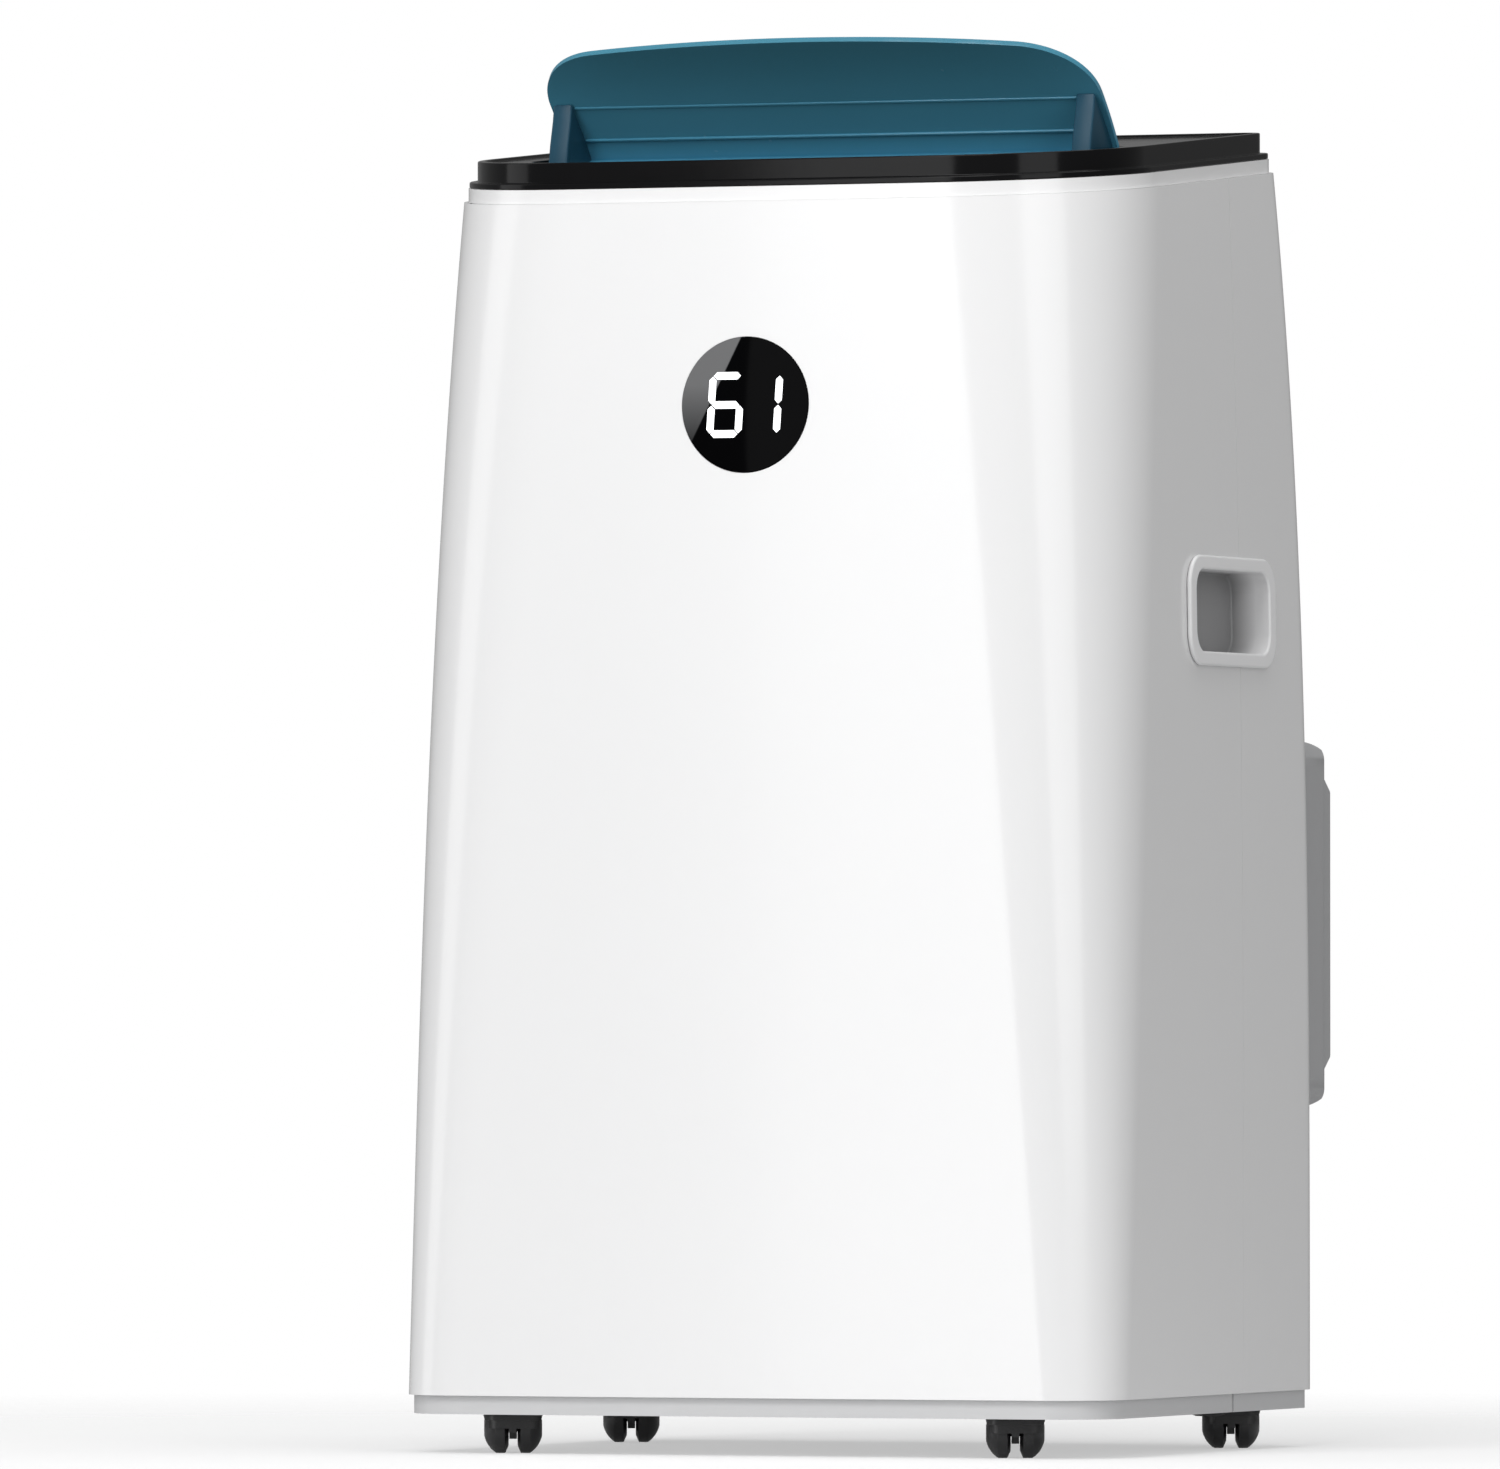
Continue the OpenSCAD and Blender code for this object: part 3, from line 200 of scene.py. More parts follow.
def moulded(name, color, rough, drift=0.02, ripple=0.00002, grain=900.0, coat=0.0, level=0.5, polish=0.06):
    finish = Finish(name)
    cloud = finish.noise(7.0)
    darker = tuple(c*(1 - drift) for c in color)
    finish.set(Base_Color=finish.mix(cloud, darker, color))
    finish.set(Roughness=finish.noise(60.0, 3.0)*polish + (rough - polish/2))
    finish.set(Coat_Weight=coat, Coat_Roughness=0.08, Specular_IOR_Level=level)
    finish.bump(finish.noise(grain, 3.0), ripple)
    FINISHES[name] = finish.material
    return finish


moulded("white_gloss", (0.82, 0.82, 0.823), 0.2, 0.012, 0.000008, 420.0, coat=0.15)
moulded("white_satin", (0.78, 0.78, 0.785), 0.34, 0.015, 0.00003)
moulded("strip_grey", (0.58, 0.583, 0.59), 0.38, 0.02, 0.00003)
moulded("housing_grey", (0.42, 0.423, 0.43), 0.42, 0.02, 0.00006)
moulded("grille_grey", (0.6, 0.602, 0.61), 0.42, 0.02, 0.00006)
moulded("piano_black", (0.004, 0.004, 0.0045), 0.12, 0.3, 0.000008, 300.0, level=0.14)
moulded("panel_black", (0.016, 0.016, 0.018), 0.32, 0.2, 0.00004)
moulded("duct_black", (0.014, 0.015, 0.017), 0.5, 0.2, 0.00008)
moulded("caster_black", (0.012, 0.012, 0.013), 0.33, 0.25, 0.00005)
moulded("rubber", (0.016, 0.016, 0.016), 0.68, 0.25, 0.0002, 700.0)
moulded("button_grey", (0.05, 0.052, 0.056), 0.36, 0.1, 0.00003)
moulded("foam_grey", (0.22, 0.225, 0.235), 0.85, 0.12, 0.0006, 500.0)
# A hand hold is pale at its rim and turns grey inside the pocket, between these distances from the middle.
# The grey inside the pocket is painted shade.
POCKET_INNER, POCKET_OUTER = 0.192, 0.207
hold = moulded("hold_white", (0.78, 0.78, 0.785), 0.34, 0.015, 0.00003)
rim_share = (hold.axis("X").size() - POCKET_INNER)/(POCKET_OUTER - POCKET_INNER)
hold.set(Base_Color=hold.ramp(rim_share, ((0.0, (0.28, 0.28, 0.285)), (1.0, (0.86, 0.86, 0.865)))))
print("moulded finishes:", ", ".join(FINISHES))

# %% [markdown]
# ## The flap's tinted blue
# The flap is a deep petrol blue, a little darker towards its free edge. A ramp on height would
# do, but it has to stay with the flap as it turns: Object coordinates travel with the piece.

# %% Flap blue
flap_hinge = Vector(JOINTS["flap_hinge"]["pos_m"])
FLAP_LOW, FLAP_REACH = flap_hinge.z, 0.062
blue = moulded("petrol_blue", (0.02, 0.13, 0.2), 0.26, 0.1, 0.00001, 400.0, level=0.3)
height = (blue.axis("Z") - FLAP_LOW)/FLAP_REACH
blue.set(Base_Color=blue.ramp(height + (blue.noise(14.0) - 0.5)*0.12,
                              ((0.0, (0.075, 0.31, 0.47)), (0.5, (0.07, 0.28, 0.41)),
                               (1.0, (0.055, 0.215, 0.3)))))
# The cheeks take a darker copy of the flap's blue, which is painted shade: they catch more front light than the
# plate
moulded("petrol_cheek", (0.014, 0.068, 0.112), 0.36, 0.1, 0.00001, 400.0, level=0.2)
print("flap blue runs over", round(FLAP_REACH*1000), "mm")

# %% [markdown]
# ## Display glass and digits
# The window is smoked acrylic, and the digits shine through. Across its upper left corner it carries a
# painted reflection, a lighter band made as a step on a slanted coordinate, softened by a ramp.

# %% Display finishes
window_low, window_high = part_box("display_window")
window_middle = (window_low + window_high)/2
window_r = (window_high.x - window_low.x)/2
glass = moulded("smoked_glass", (0.004, 0.004, 0.0045), 0.07, 0.3, 0.000002, 200.0, level=0.02, polish=0.02)
# Painted reflection: a lighter band across the upper left of the glass, brighter towards the top
slant = ((glass.axis("Z") - window_middle.z)*0.5 - (glass.axis("X") - window_middle.x))/window_r
fade = (glass.axis("Z") - window_middle.z)/window_r
glass.set(Base_Color=glass.mix(glass.ramp(slant, ((0.565, (0, 0, 0)), (0.585, (1, 1, 1)))),
                               (0.0014, 0.0014, 0.0017),
                               glass.ramp(fade*0.5 + 0.5, ((0.2, (0.02, 0.02, 0.021)),
                                                           (0.65, (0.15, 0.151, 0.154))))))
lit = Finish("digit_light", Roughness=0.5)
glow = lit.ramp(lit.noise(40.0), ((0.0, (0.9, 0.93, 0.95)), (1.0, (1, 1, 1))))
lit.set(Base_Color=glow, Emission_Color=glow, Emission_Strength=0.9)
FINISHES["digit_light"] = lit.material
print("display window radius", round(window_r*1000, 1), "mm")

# %% [markdown]
# ## Metals, fins, copper, boards and mesh
# Inside the cabinet the parts are sheet steel, finned aluminium, copper tube and circuit board. Drawn
# or rolled metal shows streaks along one direction, which is noise stretched with a Mapping scale.

# %% Metals and the rest


def metal(name, color, rough, stretch, scale=40.0, spread=0.18):
    finish = Finish(name, Metallic=1.0)
    streak = finish.noise(scale, 4.0, stretch)
    finish.set(Base_Color=finish.mix(streak, tuple(c*0.8 for c in color), color),
               Roughness=streak*spread + (rough - spread/2))
    finish.bump(streak, 0.00004)
    FINISHES[name] = finish.material
    return finish


metal("sheet_steel", (0.56, 0.57, 0.58), 0.42, (1, 1, 12))
metal("screw_steel", (0.6, 0.6, 0.61), 0.3, (1, 1, 1), 300.0)
metal("copper", (0.72, 0.36, 0.2), 0.32, (1, 1, 6))
fins = metal("fin_aluminium", (0.74, 0.75, 0.76), 0.45, (1, 1, 30))
FIN_RIPPLE = 0.0018
fin_wave = fins.stripes("X", FIN_RIPPLE)
fins.set(Base_Color=fins.mix(fin_wave, (0.36, 0.37, 0.38), (0.76, 0.77, 0.78)))
fins.bump(fin_wave, 0.0005)

moulded("compressor_black", (0.012, 0.012, 0.013), 0.4, 0.3, 0.0001)
board = moulded("board_green", (0.01, 0.09, 0.035), 0.45, 0.2, 0.00005)
TRACK_CELLS, TRACK_WIDTH = 260.0, 0.05
cells = board.add("ShaderNodeTexVoronoi", {"feature": "DISTANCE_TO_EDGE"},
                  {"Vector": board.place(), "Scale": TRACK_CELLS}, out="Distance")
board.set(Base_Color=board.mix(cells.below(TRACK_WIDTH), (0.01, 0.085, 0.035), (0.03, 0.17, 0.07)))

mesh = moulded("filter_mesh", (0.03, 0.12, 0.17), 0.7, 0.1, 0.0002)
THREAD_RIPPLE = 0.0013
warp = mesh.stripes("X", THREAD_RIPPLE)
weft = mesh.stripes("Z", THREAD_RIPPLE)
weave = warp.math("MAXIMUM", warp, weft)
mesh.set(Base_Color=mesh.mix(weave, (0.004, 0.012, 0.016), (0.05, 0.17, 0.23)))
mesh.bump(weave, 0.0004)
print(len(FINISHES), "finishes")

# %% [markdown]
# ## Helpers for the pieces
# A finished piece sits at the origin with its place in its mesh, rides on a body, and takes a finish
# by name. The import leaves every node selected, so each operator is preceded by a clean selection.

# %% Piece helpers


def alone(obj):
    """Selects one object, and only that one, and makes it active."""
    bpy.ops.object.select_all(action="DESELECT")
    obj.select_set(True)
    bpy.context.view_layer.objects.active = obj


def edit(obj, *steps):
    """Runs edit-mode operators on everything in a mesh."""
    alone(obj)
    bpy.ops.object.mode_set(mode="EDIT")
    bpy.ops.mesh.select_all(action="SELECT")
    for operator, options in steps:
        operator(**options)
    bpy.ops.object.mode_set(mode="OBJECT")


def apply_modifier(obj, kind, **settings):
    alone(obj)
    modifier = obj.modifiers.new(kind.lower(), kind)
    for name, value in settings.items():
        setattr(modifier, name, value)
    bpy.ops.object.modifier_apply(modifier=modifier.name)


def bevel_edges(obj, width, segments=3, corner=35):
    apply_modifier(obj, "BEVEL", width=width, segments=segments, limit_method="ANGLE",
                   angle_limit=math.radians(corner), use_clamp_overlap=True, harden_normals=False)


def settle(obj, body, finish, replaced=(), smooth=35):
    """Gives a finished piece its body, finish and smooth shading."""
    alone(obj)
    bpy.ops.object.shade_smooth_by_angle(angle=math.radians(smooth))
    obj.data.materials.clear()
    obj.data.materials.append(FINISHES[finish])
    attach(obj, body)
    for node in replaced:
        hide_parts(node)
    print(obj.name, "->", body, len(obj.data.polygons), "faces")
    return obj


SLOT = {entry["node"]: entry["material_slot"] for entry in frame["record"]["subparts"]}
BODY = {node: body for body, nodes in frame["record"]["behaviour"]["bodies"].items() for node in nodes}


def softened(node, finish, width, segments=3, corner=35, smooth=35):
    """A copy of a CAD node with its flat faces joined up and its sharp edges rounded."""
    obj = bpy.data.objects.new(node + "_soft", frame["nodes"][node].data.copy())
    bpy.context.scene.collection.objects.link(obj)
    edit(obj, (bpy.ops.mesh.remove_doubles, {"threshold": 0.00001}),
         (bpy.ops.mesh.dissolve_limited, {"angle_limit": math.radians(0.4)}))
    bevel_edges(obj, width, segments, corner)
    settle(obj, BODY[node], finish, [node], smooth)
    apply_modifier(obj, "WEIGHTED_NORMAL", keep_sharp=True)
    return obj


def formed_sheet(name, across, along, place, outward):
    """A grid sheet pressed over a form: place(u, v) says where each point goes, u and v from 0 to 1."""
    bpy.ops.object.select_all(action="DESELECT")
    bpy.ops.mesh.primitive_grid_add(x_subdivisions=across, y_subdivisions=along, size=2)
    obj = bpy.context.object
    obj.name = name
    for vertex in obj.data.vertices:
        vertex.co = place((vertex.co.x + 1)/2, (vertex.co.y + 1)/2)
    obj.data.update()
    middle = obj.data.polygons[len(obj.data.polygons)//2]
    if middle.normal.dot(Vector(outward)) < 0:
        edit(obj, (bpy.ops.mesh.flip_normals, {}))
    return obj


def cut_with(obj, cutter):
    """Takes a cutter's volume out of a piece and throws the cutter away."""
    apply_modifier(obj, "BOOLEAN", operation="DIFFERENCE", solver="EXACT", object=cutter)
    bpy.data.objects.remove(cutter)


# %% [markdown]
# ## The form of the cabinet
# Both shells are one lofted form: a rounded plan that leans in towards the top, slowly at first and
# faster near the deck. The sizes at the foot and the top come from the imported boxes, so the skins
# follow the design exactly, and only the shape of the curve between them is stated here.

# %% Cabinet form
front_low, front_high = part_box("front_shell")
rear_low, rear_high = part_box("rear_shell")
collar_low, collar_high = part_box("top_collar")
COLLAR_INSET = 2.5*MM
LEAN_POWER = 3.1
FRONT_BOW = 1.7*MM
FRONT_R_FOOT, FRONT_R_TOP, BACK_R = 40*MM, 98*MM, 26*MM
WALL = 3.2*MM
deck_normal = -Vector(JOINTS["press_power"]["axis"])
DECK_RISE = -deck_normal.y/deck_normal.z
FOOT = front_low.z


def between(first, last, share):
    return first + (last - first)*share


def top_height(y):
    return front_high.z + (y - front_high.y)*DECK_RISE


def wall_point(x, y, s):
    """A point of the wall: its plan at height share s, lifted between the foot and the sloping top."""
    return Vector((x, y, between(FOOT, top_height(y), s)))


def half_width(s):
    return between(front_high.x, collar_high.x + COLLAR_INSET, s**LEAN_POWER)


def front_line(s):
    return between(front_low.y, collar_low.y - COLLAR_INSET, s**LEAN_POWER)


def back_line(s):
    return between(rear_high.y, collar_high.y + COLLAR_INSET, s**LEAN_POWER)


# Shares of a shell's grid that run along one side, round one corner and across the face
SIDE_SHARE, CORNER_SHARE = 0.12, 0.22


def front_place(u, s):
    """The front shell's outer skin: u runs from the right seam over the face to the left seam."""
    mirror = 1 if u <= 0.5 else -1
    u = min(u, 1 - u)
    half, face = half_width(s), front_line(s)
    r = between(FRONT_R_FOOT, FRONT_R_TOP, s)
    corner = (half - r, face + FRONT_BOW + r)
    if u < SIDE_SHARE:
        spot = (half, between(front_high.y, corner[1], u/SIDE_SHARE))
    elif u < SIDE_SHARE + CORNER_SHARE:
        angle = (u - SIDE_SHARE)/CORNER_SHARE*math.pi/2
        spot = (corner[0] + r*math.cos(angle), corner[1] - r*math.sin(angle))
    else:
        k = (0.5 - u)/(0.5 - SIDE_SHARE - CORNER_SHARE)
        spot = (corner[0]*k, face + FRONT_BOW*k*k)
    return wall_point(mirror*spot[0], spot[1], s)


def rear_place(u, s):
    """The rear shell's outer skin, from the right seam round the back to the left seam."""
    mirror = 1 if u <= 0.5 else -1
    u = min(u, 1 - u)
    half, face = half_width(s), back_line(s)
    corner = (half - BACK_R, face - BACK_R)
    if u < SIDE_SHARE:
        spot = (half, between(rear_low.y, corner[1], u/SIDE_SHARE))
    elif u < SIDE_SHARE + CORNER_SHARE:
        angle = (u - SIDE_SHARE)/CORNER_SHARE*math.pi/2
        spot = (corner[0] + BACK_R*math.cos(angle), corner[1] + BACK_R*math.sin(angle))
    else:
        k = (0.5 - u)/(0.5 - SIDE_SHARE - CORNER_SHARE)
        spot = (corner[0]*k, face)
    return wall_point(mirror*spot[0], spot[1], s)


print("cabinet", round(2000*half_width(0)), "mm wide at the foot,", round(2000*half_width(1)), "at the top")

# %% [markdown]
# ## Cutters
# The openings are cut as on the real moulding: a rounded block for each hand opening, a drum for the
# window, plain blocks for the grille and the hose housing. A boolean cuts them clean through the wall.

# %% Cutter shapes


def drum(name, radius, place, tilt, length=0.03, sides=96):
    """A short cylinder whose axis is turned by tilt from straight up, about X."""
    bpy.ops.object.select_all(action="DESELECT")
    bpy.ops.mesh.primitive_cylinder_add(vertices=sides, radius=radius, depth=length, location=place,
                                        rotation=(tilt, 0, 0))
    obj = bpy.context.object
    obj.name = name
    bpy.ops.object.transform_apply(location=True, rotation=True, scale=True)
    return obj


def rounded_block(name, size, radius, place, turn=(0, 0, 0), axis=0, segments=10):
    """A block whose four edges along one axis are rounded."""
    bpy.ops.object.select_all(action="DESELECT")
    bpy.ops.mesh.primitive_cube_add(size=1, location=place, rotation=turn)
    obj = bpy.context.object
    obj.name = name
    obj.scale = size
    bpy.ops.object.transform_apply(location=False, rotation=False, scale=True)
    if radius:
        bpy.ops.object.mode_set(mode="EDIT")
        bpy.ops.mesh.select_mode(type="EDGE")
        bpy.ops.mesh.select_all(action="DESELECT")
        bpy.ops.object.mode_set(mode="OBJECT")
        for edge in obj.data.edges:
            a, b = (obj.data.vertices[k].co for k in edge.vertices)
            edge.select = abs((a - b)[axis]) > 0.99*size[axis]
        bpy.ops.object.mode_set(mode="EDIT")
        bpy.ops.mesh.bevel(offset=radius, segments=segments)
        bpy.ops.object.mode_set(mode="OBJECT")
    bpy.ops.object.transform_apply(location=True, rotation=True, scale=True)
    return obj


def joined(name, pieces):
    bpy.ops.object.select_all(action="DESELECT")
    for piece in pieces:
        piece.select_set(True)
    bpy.context.view_layer.objects.active = pieces[0]
    bpy.ops.object.join()
    pieces[0].name = name
    return pieces[0]


def middle(node):
    low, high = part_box(node)
    return (low + high)/2


HANDLE_RIM = 10*MM
HANDLE_CUT_R = 15*MM
# Height share of the wall at which a hand hold sits
HANDLE_SHARE = 0.65


def handle_cutters():
    cutters = []
    for node, side in (("handle_right", 1), ("handle_left", -1)):
        low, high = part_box(node)
        size = (40*MM, high.y - low.y - 1.4*HANDLE_RIM, high.z - low.z - HANDLE_RIM)
        place = (side*half_width(HANDLE_SHARE), *middle(node).yz)
        cutters.append(rounded_block(node + "_cut", size, HANDLE_CUT_R, place))
    return cutters


print("hand openings centred at", [round(v*1000) for v in middle("handle_right")], "mm")

# %% [markdown]
# ## Front and rear shells
# Each shell is a grid pressed over the cabinet's form, given its wall with Solidify, cut, and then
# bevelled on every edge that is left sharp, because a moulded edge always catches a line of light.

# %% Shell halves
SHELL_ACROSS, SHELL_ALONG = 101, 65
EDGE_ROUND = 1.1*MM


def shell(name, node, place, outward, cutters):
    obj = formed_sheet(name, SHELL_ACROSS, SHELL_ALONG, place, outward)
    apply_modifier(obj, "SOLIDIFY", thickness=WALL, offset=-1, use_even_offset=True)
    cut_with(obj, joined(name + "_cuts", cutters))
    bevel_edges(obj, EDGE_ROUND, 3, 30)
    settle(obj, BODY[node], "white_gloss", [node], 32)
    apply_modifier(obj, "WEIGHTED_NORMAL", keep_sharp=True)
    return obj


window_tilt = math.asin((window_high.y - window_low.y - WALL)/(2*window_r))
window_hole = drum("window_cut", window_r + 0.2*MM, middle("display_window"), math.pi/2 - window_tilt)
shell("front_shell_skin", "front_shell", front_place, (0, -1, 0), [window_hole, *handle_cutters()])

# %% [markdown]
# The rear shell gives way to the filter grille, the hose housing, the drain and the cord gland.

# %% Rear shell
GRILLE_GAP = 0.4*MM
grille_low, grille_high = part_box("filter_grille")
grille_axis = Vector(JOINTS["filter_slide"]["axis"])
grille_turn = math.atan2(grille_axis.z, grille_axis.y)
grille_size = (grille_high.x - grille_low.x + 2*GRILLE_GAP, 60*MM, grille_high.z - grille_low.z)
grille_hole = rounded_block("grille_cut", grille_size, 0, middle("filter_grille"), (grille_turn, 0, 0))
housing_low, housing_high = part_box("hose_housing")
housing_size = (housing_high.x - housing_low.x + 2*GRILLE_GAP, 40*MM,
                housing_high.z - housing_low.z + 2*GRILLE_GAP)
HOUSING_R = 17*MM + GRILLE_GAP
housing_place = (0, rear_high.y, middle("hose_housing").z)
housing_hole = rounded_block("housing_cut", housing_size, HOUSING_R, housing_place, axis=1)
DRAIN_R, GLAND_R = 9.4*MM, 8.3*MM
drain_place = (middle("drain_cap").x, rear_high.y, middle("drain_cap").z)
drain_hole = drum("drain_cut", DRAIN_R, drain_place, math.pi/2)
gland_place = (middle("cord_gland").x, rear_high.y, middle("cord_gland").z)
gland_hole = drum("gland_cut", GLAND_R, gland_place, math.pi/2)
shell("rear_shell_skin", "rear_shell", rear_place, (0, 1, 0),
      [grille_hole, housing_hole, drain_hole, gland_hole, *handle_cutters()])

# %% [markdown]
# ## Display window
# The window is a plain disc of smoked acrylic. Its rim is turned to a fine radius, and the digits
# stand just proud of its face, so nothing has to be cut out of the glass.

# %% Window disc
disc = drum("display_glass", window_r, middle("display_window"), math.pi/2 - window_tilt, WALL - 0.2*MM, 160)
bevel_edges(disc, 0.35*MM, 3, 60)
settle(disc, "cabinet", "smoked_glass", ["display_window"], 40)

# %% [markdown]
# ## Outlet flap
# The flap is a thin crowned plate on two cheeks and a root bar. All of it is shaped in the flap's own
# frame, closed and with the hinge at the origin, and one matrix then opens it to its place at rest.

# %% Flap plate
FLAP_OPEN = math.radians(46)
FLAP_HALF, FLAP_CHORD, FLAP_ROOT = 167*MM, 97*MM, 4.5*MM
FLAP_CORNER, FLAP_EDGE_R = 45*MM, 950*MM
FLAP_RISE, FLAP_CROWN, FLAP_THICK = 7*MM, 5.5*MM, 3*MM
CROWN_R = (FLAP_CHORD**2/4 + FLAP_CROWN**2)/(2*FLAP_CROWN)
flap_frame = Matrix.Translation(flap_hinge) @ Matrix.Rotation(math.atan(DECK_RISE) - FLAP_OPEN, 4, "X")


def flap_reach(x):
    """How far the free edge lies from the hinge at x: a slow bow between two round corners."""
    corner_x = FLAP_HALF - FLAP_CORNER
    corner_y = FLAP_CHORD - FLAP_EDGE_R + math.sqrt((FLAP_EDGE_R - FLAP_CORNER)**2 - corner_x**2)
    if abs(x) <= FLAP_EDGE_R*corner_x/(FLAP_EDGE_R - FLAP_CORNER):
        return FLAP_CHORD - FLAP_EDGE_R + math.sqrt(FLAP_EDGE_R**2 - x*x)
    return corner_y + math.sqrt(max(FLAP_CORNER**2 - (abs(x) - corner_x)**2, 0))


def crown_height(reach):
    return FLAP_RISE + FLAP_CROWN - CROWN_R + math.sqrt(CROWN_R**2 - (reach - FLAP_CHORD/2)**2)


def flap_place(u, v):
    x = FLAP_HALF*math.sin((u - 0.5)*math.pi)
    reach = between(-FLAP_ROOT, flap_reach(x), math.sin(v*math.pi/2))
    return flap_frame @ Vector((x, -reach, crown_height(reach)))


plate = formed_sheet("flap_plate", 97, 33, flap_place, flap_frame.to_3x3() @ Vector((0, 0, 1)))
apply_modifier(plate, "SOLIDIFY", thickness=FLAP_THICK, offset=-1, use_even_offset=True)
bevel_edges(plate, 1.25*MM, 4, 40)
settle(plate, "flap", "petrol_blue", ["flap"], 40)

# %% [markdown]
# The cheeks are slabs that taper towards the plate. Each is an outline of a few points, extruded
# across its thickness and bevelled. Two thin stiffening lips cross the underside between them.

# %% Flap cheeks, root bar and lips
CHEEK_OUT, CHEEK_WIDE = FLAP_HALF - 2.6*MM, 11.5*MM
CHEEK_OUTLINE = ((4, -4), (4, 5.5), (-20, 7.8), (-46, 8.6), (-41, 0), (-35, -13), (-28, -25),
                 (-20, -28), (-8, -16))


def extruded(name, outline, start, end, frame_matrix, scale=MM):
    """A closed outline in Y and Z, extruded along X from start to end."""
    bpy.ops.object.select_all(action="DESELECT")
    bpy.ops.mesh.primitive_circle_add(vertices=len(outline), radius=1, fill_type="NGON")
    obj = bpy.context.object
    obj.name = name
    for vertex, (y, z) in zip(obj.data.vertices, outline):
        vertex.co = (start, y*scale, z*scale)
    edit(obj, (bpy.ops.mesh.extrude_region_move, {"TRANSFORM_OT_translate": {"value": (end - start, 0, 0)}}),
         (bpy.ops.mesh.select_all, {"action": "SELECT"}),
         (bpy.ops.mesh.normals_make_consistent, {"inside": False}))
    obj.data.transform(frame_matrix)
    return obj


for side, tag in ((-1, "left"), (1, "right")):
    cheek = extruded("flap_cheek_" + tag, CHEEK_OUTLINE, side*(CHEEK_OUT - CHEEK_WIDE), side*CHEEK_OUT,
                     flap_frame)
    bevel_edges(cheek, 1.2*MM, 3, 30)
    settle(cheek, "flap", "petrol_cheek", ["flap"], 35)
BAR_R, BAR_SIDES = 6, 24
root_bar = [(BAR_R*math.cos(2*math.pi*k/BAR_SIDES), BAR_R*math.sin(2*math.pi*k/BAR_SIDES))
            for k in range(BAR_SIDES)]
bar = extruded("flap_root_bar", root_bar, CHEEK_WIDE - CHEEK_OUT, CHEEK_OUT - CHEEK_WIDE, flap_frame)
settle(bar, "flap", "petrol_blue", ["flap"], 30)
for tag, reach, depth in (("low", 16, 0.8), ("high", 40, 0.6)):
    under = (crown_height(reach*MM) - FLAP_THICK)/MM
    lip_outline = ((-reach, under + 1), (-reach - 2.6, under + 1), (-reach - 2.2, under - depth),
                   (-reach - 0.6, under - depth))
    lip = extruded("flap_lip_" + tag, lip_outline, CHEEK_WIDE - CHEEK_OUT, CHEEK_OUT - CHEEK_WIDE, flap_frame)
    bevel_edges(lip, 0.4*MM, 2, 30)
    settle(lip, "flap", "petrol_blue", ["flap"], 35)

# %% [markdown]
# ## Rounded copies of the outer mouldings
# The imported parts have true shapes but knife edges. Each outer moulding is copied, its coplanar
# triangles are joined up, and its edges get the small radius that its own tool would leave.

# %% Outer mouldings
for node, finish, width in (("top_collar", "white_gloss", 0.5*MM), ("top_cover", "piano_black", 0.9*MM),
                            ("base_pan", "strip_grey", 0.8*MM), ("base_pads", "rubber", 0.3*MM),
                            ("handle_left", "hold_white", 1.6*MM), ("handle_right", "hold_white", 1.6*MM),
                            ("control_panel", "panel_black", 0.25*MM),
                            ("hose_housing", "housing_grey", 0.8*MM), ("hose_spigot", "housing_grey", 0.6*MM),
                            ("filter_grille", "grille_grey", 0.5*MM), ("cord_gland", "rubber", 0.5*MM),
                            ("drain_cap", "rubber", 0.5*MM), ("outlet_duct", "duct_black", 0.4*MM)):
    softened(node, finish, width)
for k in range(1, 6):
    softened("vane_" + str(k), "duct_black", 0.3*MM)
for name in ("power", "mode", "down", "up"):
    softened("button_" + name, "button_grey", 0.5*MM)
for place in ("front_left", "front_right", "rear_left", "rear_right"):
    softened("caster_" + place, "caster_black", 0.5*MM)
    softened("wheels_" + place, "caster_black", 0.5*MM)

# %% [markdown]
# ## Everything carried over
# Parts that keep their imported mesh, mostly inside the cabinet, only need a finish. It follows from the
# record's slot, so a new part in the same slot is dressed without another line here.

# %% Dress the carried-over parts
SLOT_FINISH = {"shell_white": "white_gloss", "trim_white": "white_satin", "base_grey": "strip_grey",
               "cover_black": "piano_black", "panel_black": "panel_black", "display_light": "digit_light",
               "flap_teal": "petrol_blue", "duct_black": "duct_black", "motor_steel": "sheet_steel",
               "fin_aluminium": "fin_aluminium", "foam_grey": "foam_grey",
               "compressor_black": "compressor_black",
               "rubber_black": "rubber", "pipe_copper": "copper", "board_green": "board_green",
               "screw_steel": "screw_steel", "filter_mesh": "filter_mesh", "button_grey": "button_grey",
               "caster_black": "caster_black", "wheel_black": "caster_black"}
for node, obj in frame["nodes"].items():
    finish = FINISHES[SLOT_FINISH[SLOT[node]]]
    obj.data.materials.clear()
    obj.data.materials.append(finish)
print("dressed", len(frame["nodes"]), "parts")

# %% [markdown]
# ## Studio
# The ground is a pale disc that fades out into the white surround. It keeps a soft shadow under the
# cabinet without a visible horizon. A plane would show its edge, and a curved backdrop its bend.

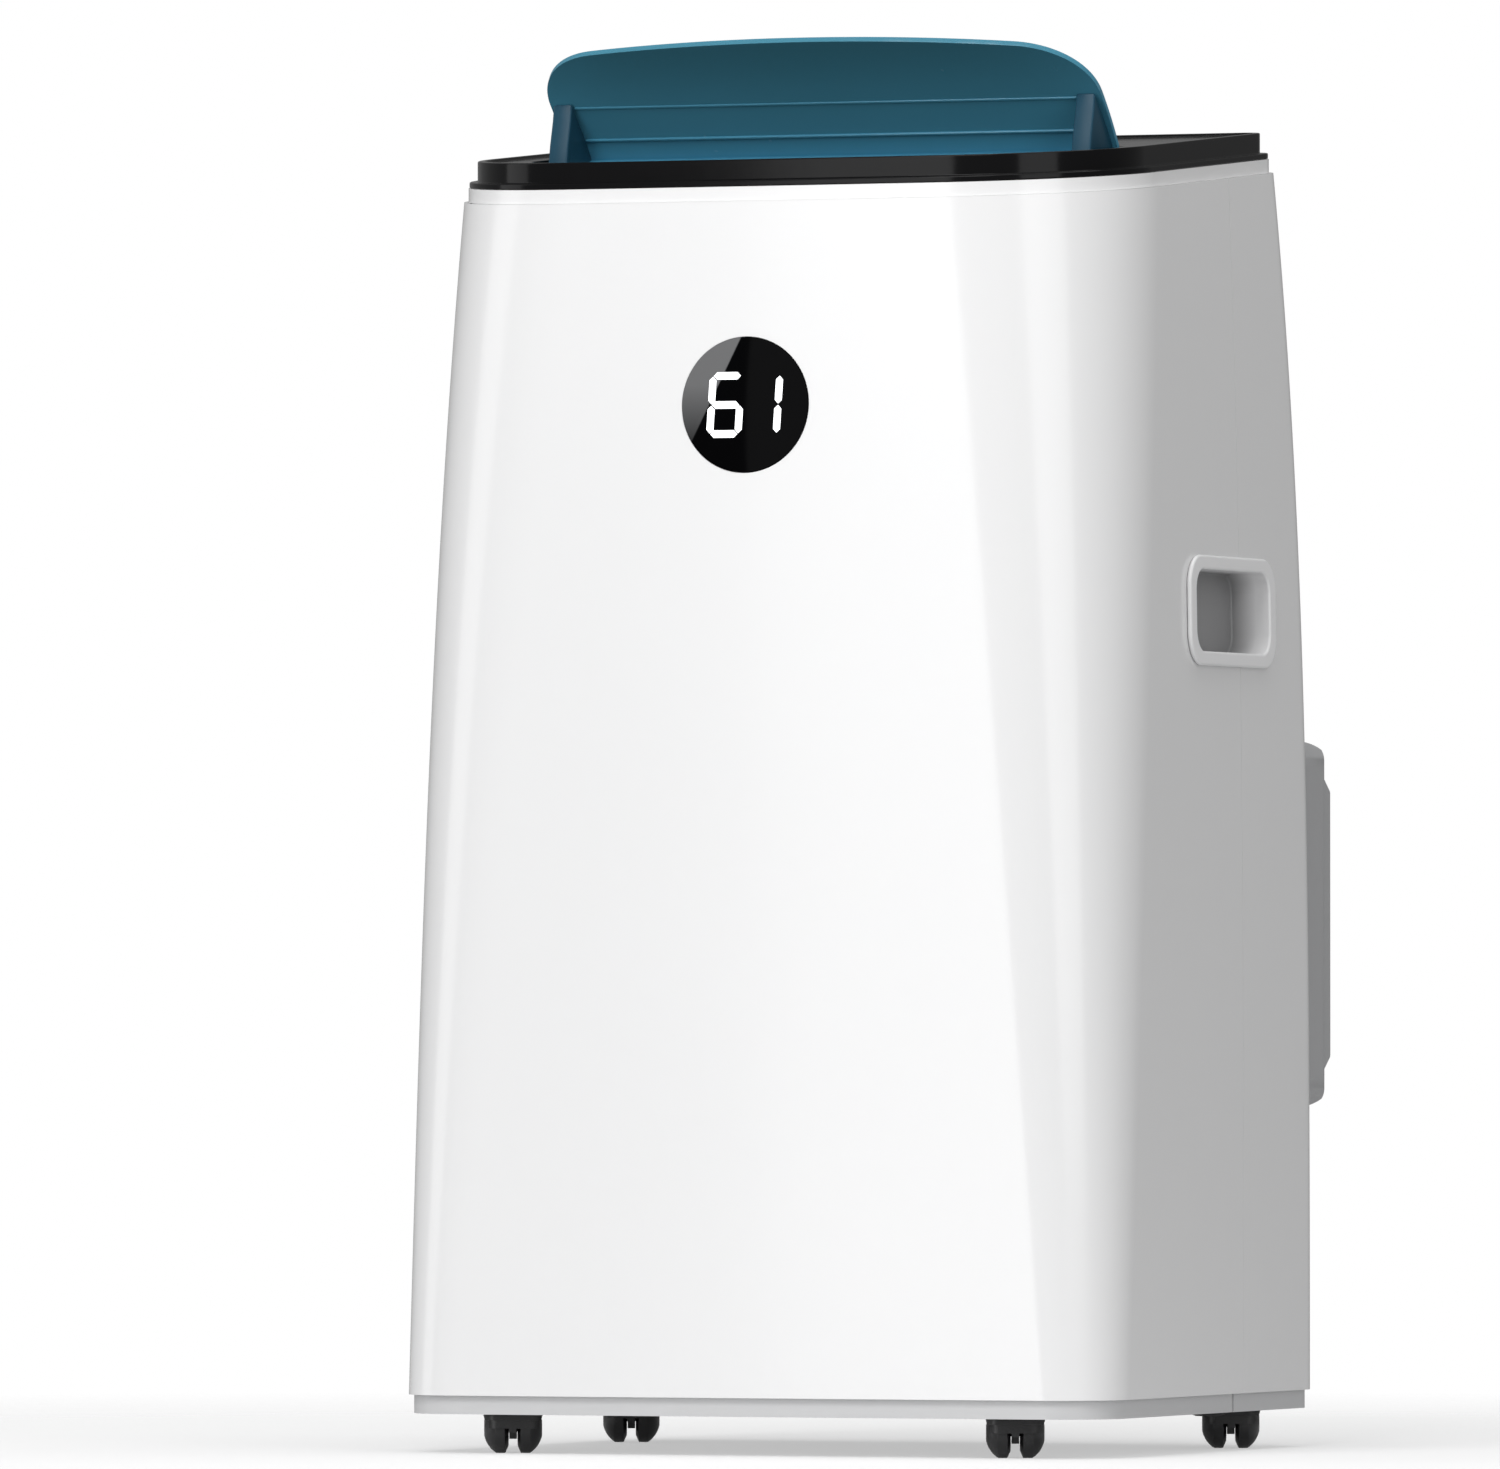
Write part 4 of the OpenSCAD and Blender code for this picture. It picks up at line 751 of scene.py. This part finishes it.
# %% Floor
FLOOR_R = 6.0
bpy.ops.object.select_all(action="DESELECT")
bpy.ops.mesh.primitive_circle_add(vertices=96, radius=FLOOR_R, fill_type="TRIFAN")
floor = bpy.context.object
floor.name = "studio_floor"
paper = Finish("floor_paper", Roughness=0.8, Specular_IOR_Level=0.2)
paper.set(Base_Color=paper.mix(paper.noise(3.0), (0.9, 0.9, 0.905), (0.92, 0.92, 0.925)))
reach = paper.add("ShaderNodeVectorMath", {"operation": "LENGTH"}, {0: paper.place()}, out="Value")
paper.set(Alpha=paper.ramp(reach*0.2, ((0.06, (0.55, 0.55, 0.55)), (0.3, (0, 0, 0)))))
floor.data.materials.append(paper.material)
floor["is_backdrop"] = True

# %% [markdown]
# The surround has two parts: a plain white that the camera sees, and a softer grey that lights and
# reflects, brighter in front than behind, so that the glossy blacks stay deep.

# %% Surround
world = bpy.data.worlds.new("studio_surround")
bpy.context.scene.world = world
world.use_nodes = True
sky = world.node_tree
backdrop = sky.nodes["Background"]
backdrop.inputs["Color"].default_value = (1.0, 1.0, 1.0, 1)
surround = sky.nodes.new("ShaderNodeBackground")
direction = sky.nodes.new("ShaderNodeTexCoord")
split = sky.nodes.new("ShaderNodeSeparateXYZ")
falloff = sky.nodes.new("ShaderNodeMapRange")
choose = sky.nodes.new("ShaderNodeMixShader")
ray = sky.nodes.new("ShaderNodeLightPath")
FRONT_GLOW, BACK_GLOW = 0.52, 0.26
for socket, value in (("From Min", -1), ("From Max", 1), ("To Min", FRONT_GLOW), ("To Max", BACK_GLOW)):
    falloff.inputs[socket].default_value = value
for source, target in ((direction.outputs["Generated"], split.inputs[0]),
                       (split.outputs["Y"], falloff.inputs[0]),
                       (falloff.outputs[0], surround.inputs["Strength"]),
                       (ray.outputs["Is Camera Ray"], choose.inputs[0]),
                       (surround.outputs[0], choose.inputs[1]),
                       (backdrop.outputs[0], choose.inputs[2]),
                       (choose.outputs[0], sky.nodes["World Output"].inputs["Surface"])):
    sky.links.new(source, target)

# %% [markdown]
# Five soft boxes: a tall strip and a large light in front, one overhead, and one to each side. A soft box
# is a big area light, and its soft edge gives soft edges to shade and reflections. The side ones are
# weaker than the front one, so the right side falls into soft shade.

# %% Soft boxes


def softbox(name, spot, width, height, energy, target=(0, 0, 0.4)):
    light = bpy.data.lights.new(name, "AREA")
    light.shape, light.size, light.size_y, light.energy = "RECTANGLE", width, height, energy
    obj = bpy.data.objects.new(name, light)
    obj.location = spot
    obj.rotation_euler = (Vector(target) - Vector(spot)).to_track_quat("-Z", "Y").to_euler()
    bpy.context.scene.collection.objects.link(obj)
    return obj


softbox("strip_light", (-0.72, -3.2, 0.9), 0.9, 3.4, 25)
softbox("front_light", (0.0, -2.7, 2.9), 2.0, 1.2, 54)
softbox("top_light", (0.3, 0.4, 3.4), 2.4, 2.4, 40)
softbox("side_light", (2.5, -1.9, 1.5), 1.6, 2.4, 24)
softbox("left_light", (-3.0, -0.9, 1.2), 1.2, 2.6, 14)

# %% [markdown]
# ## Sizes
# The imported model's box and the dressed model's box are printed side by side, so that a skin that
# grew past the design shows up at once.

# %% Sizes and finish
boxes = {"cad": [list(corner) for corner in cad_box], "visual": [list(corner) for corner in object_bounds()]}
print({name: [[round(v, 4) for v in corner] for corner in corners] for name, corners in boxes.items()})
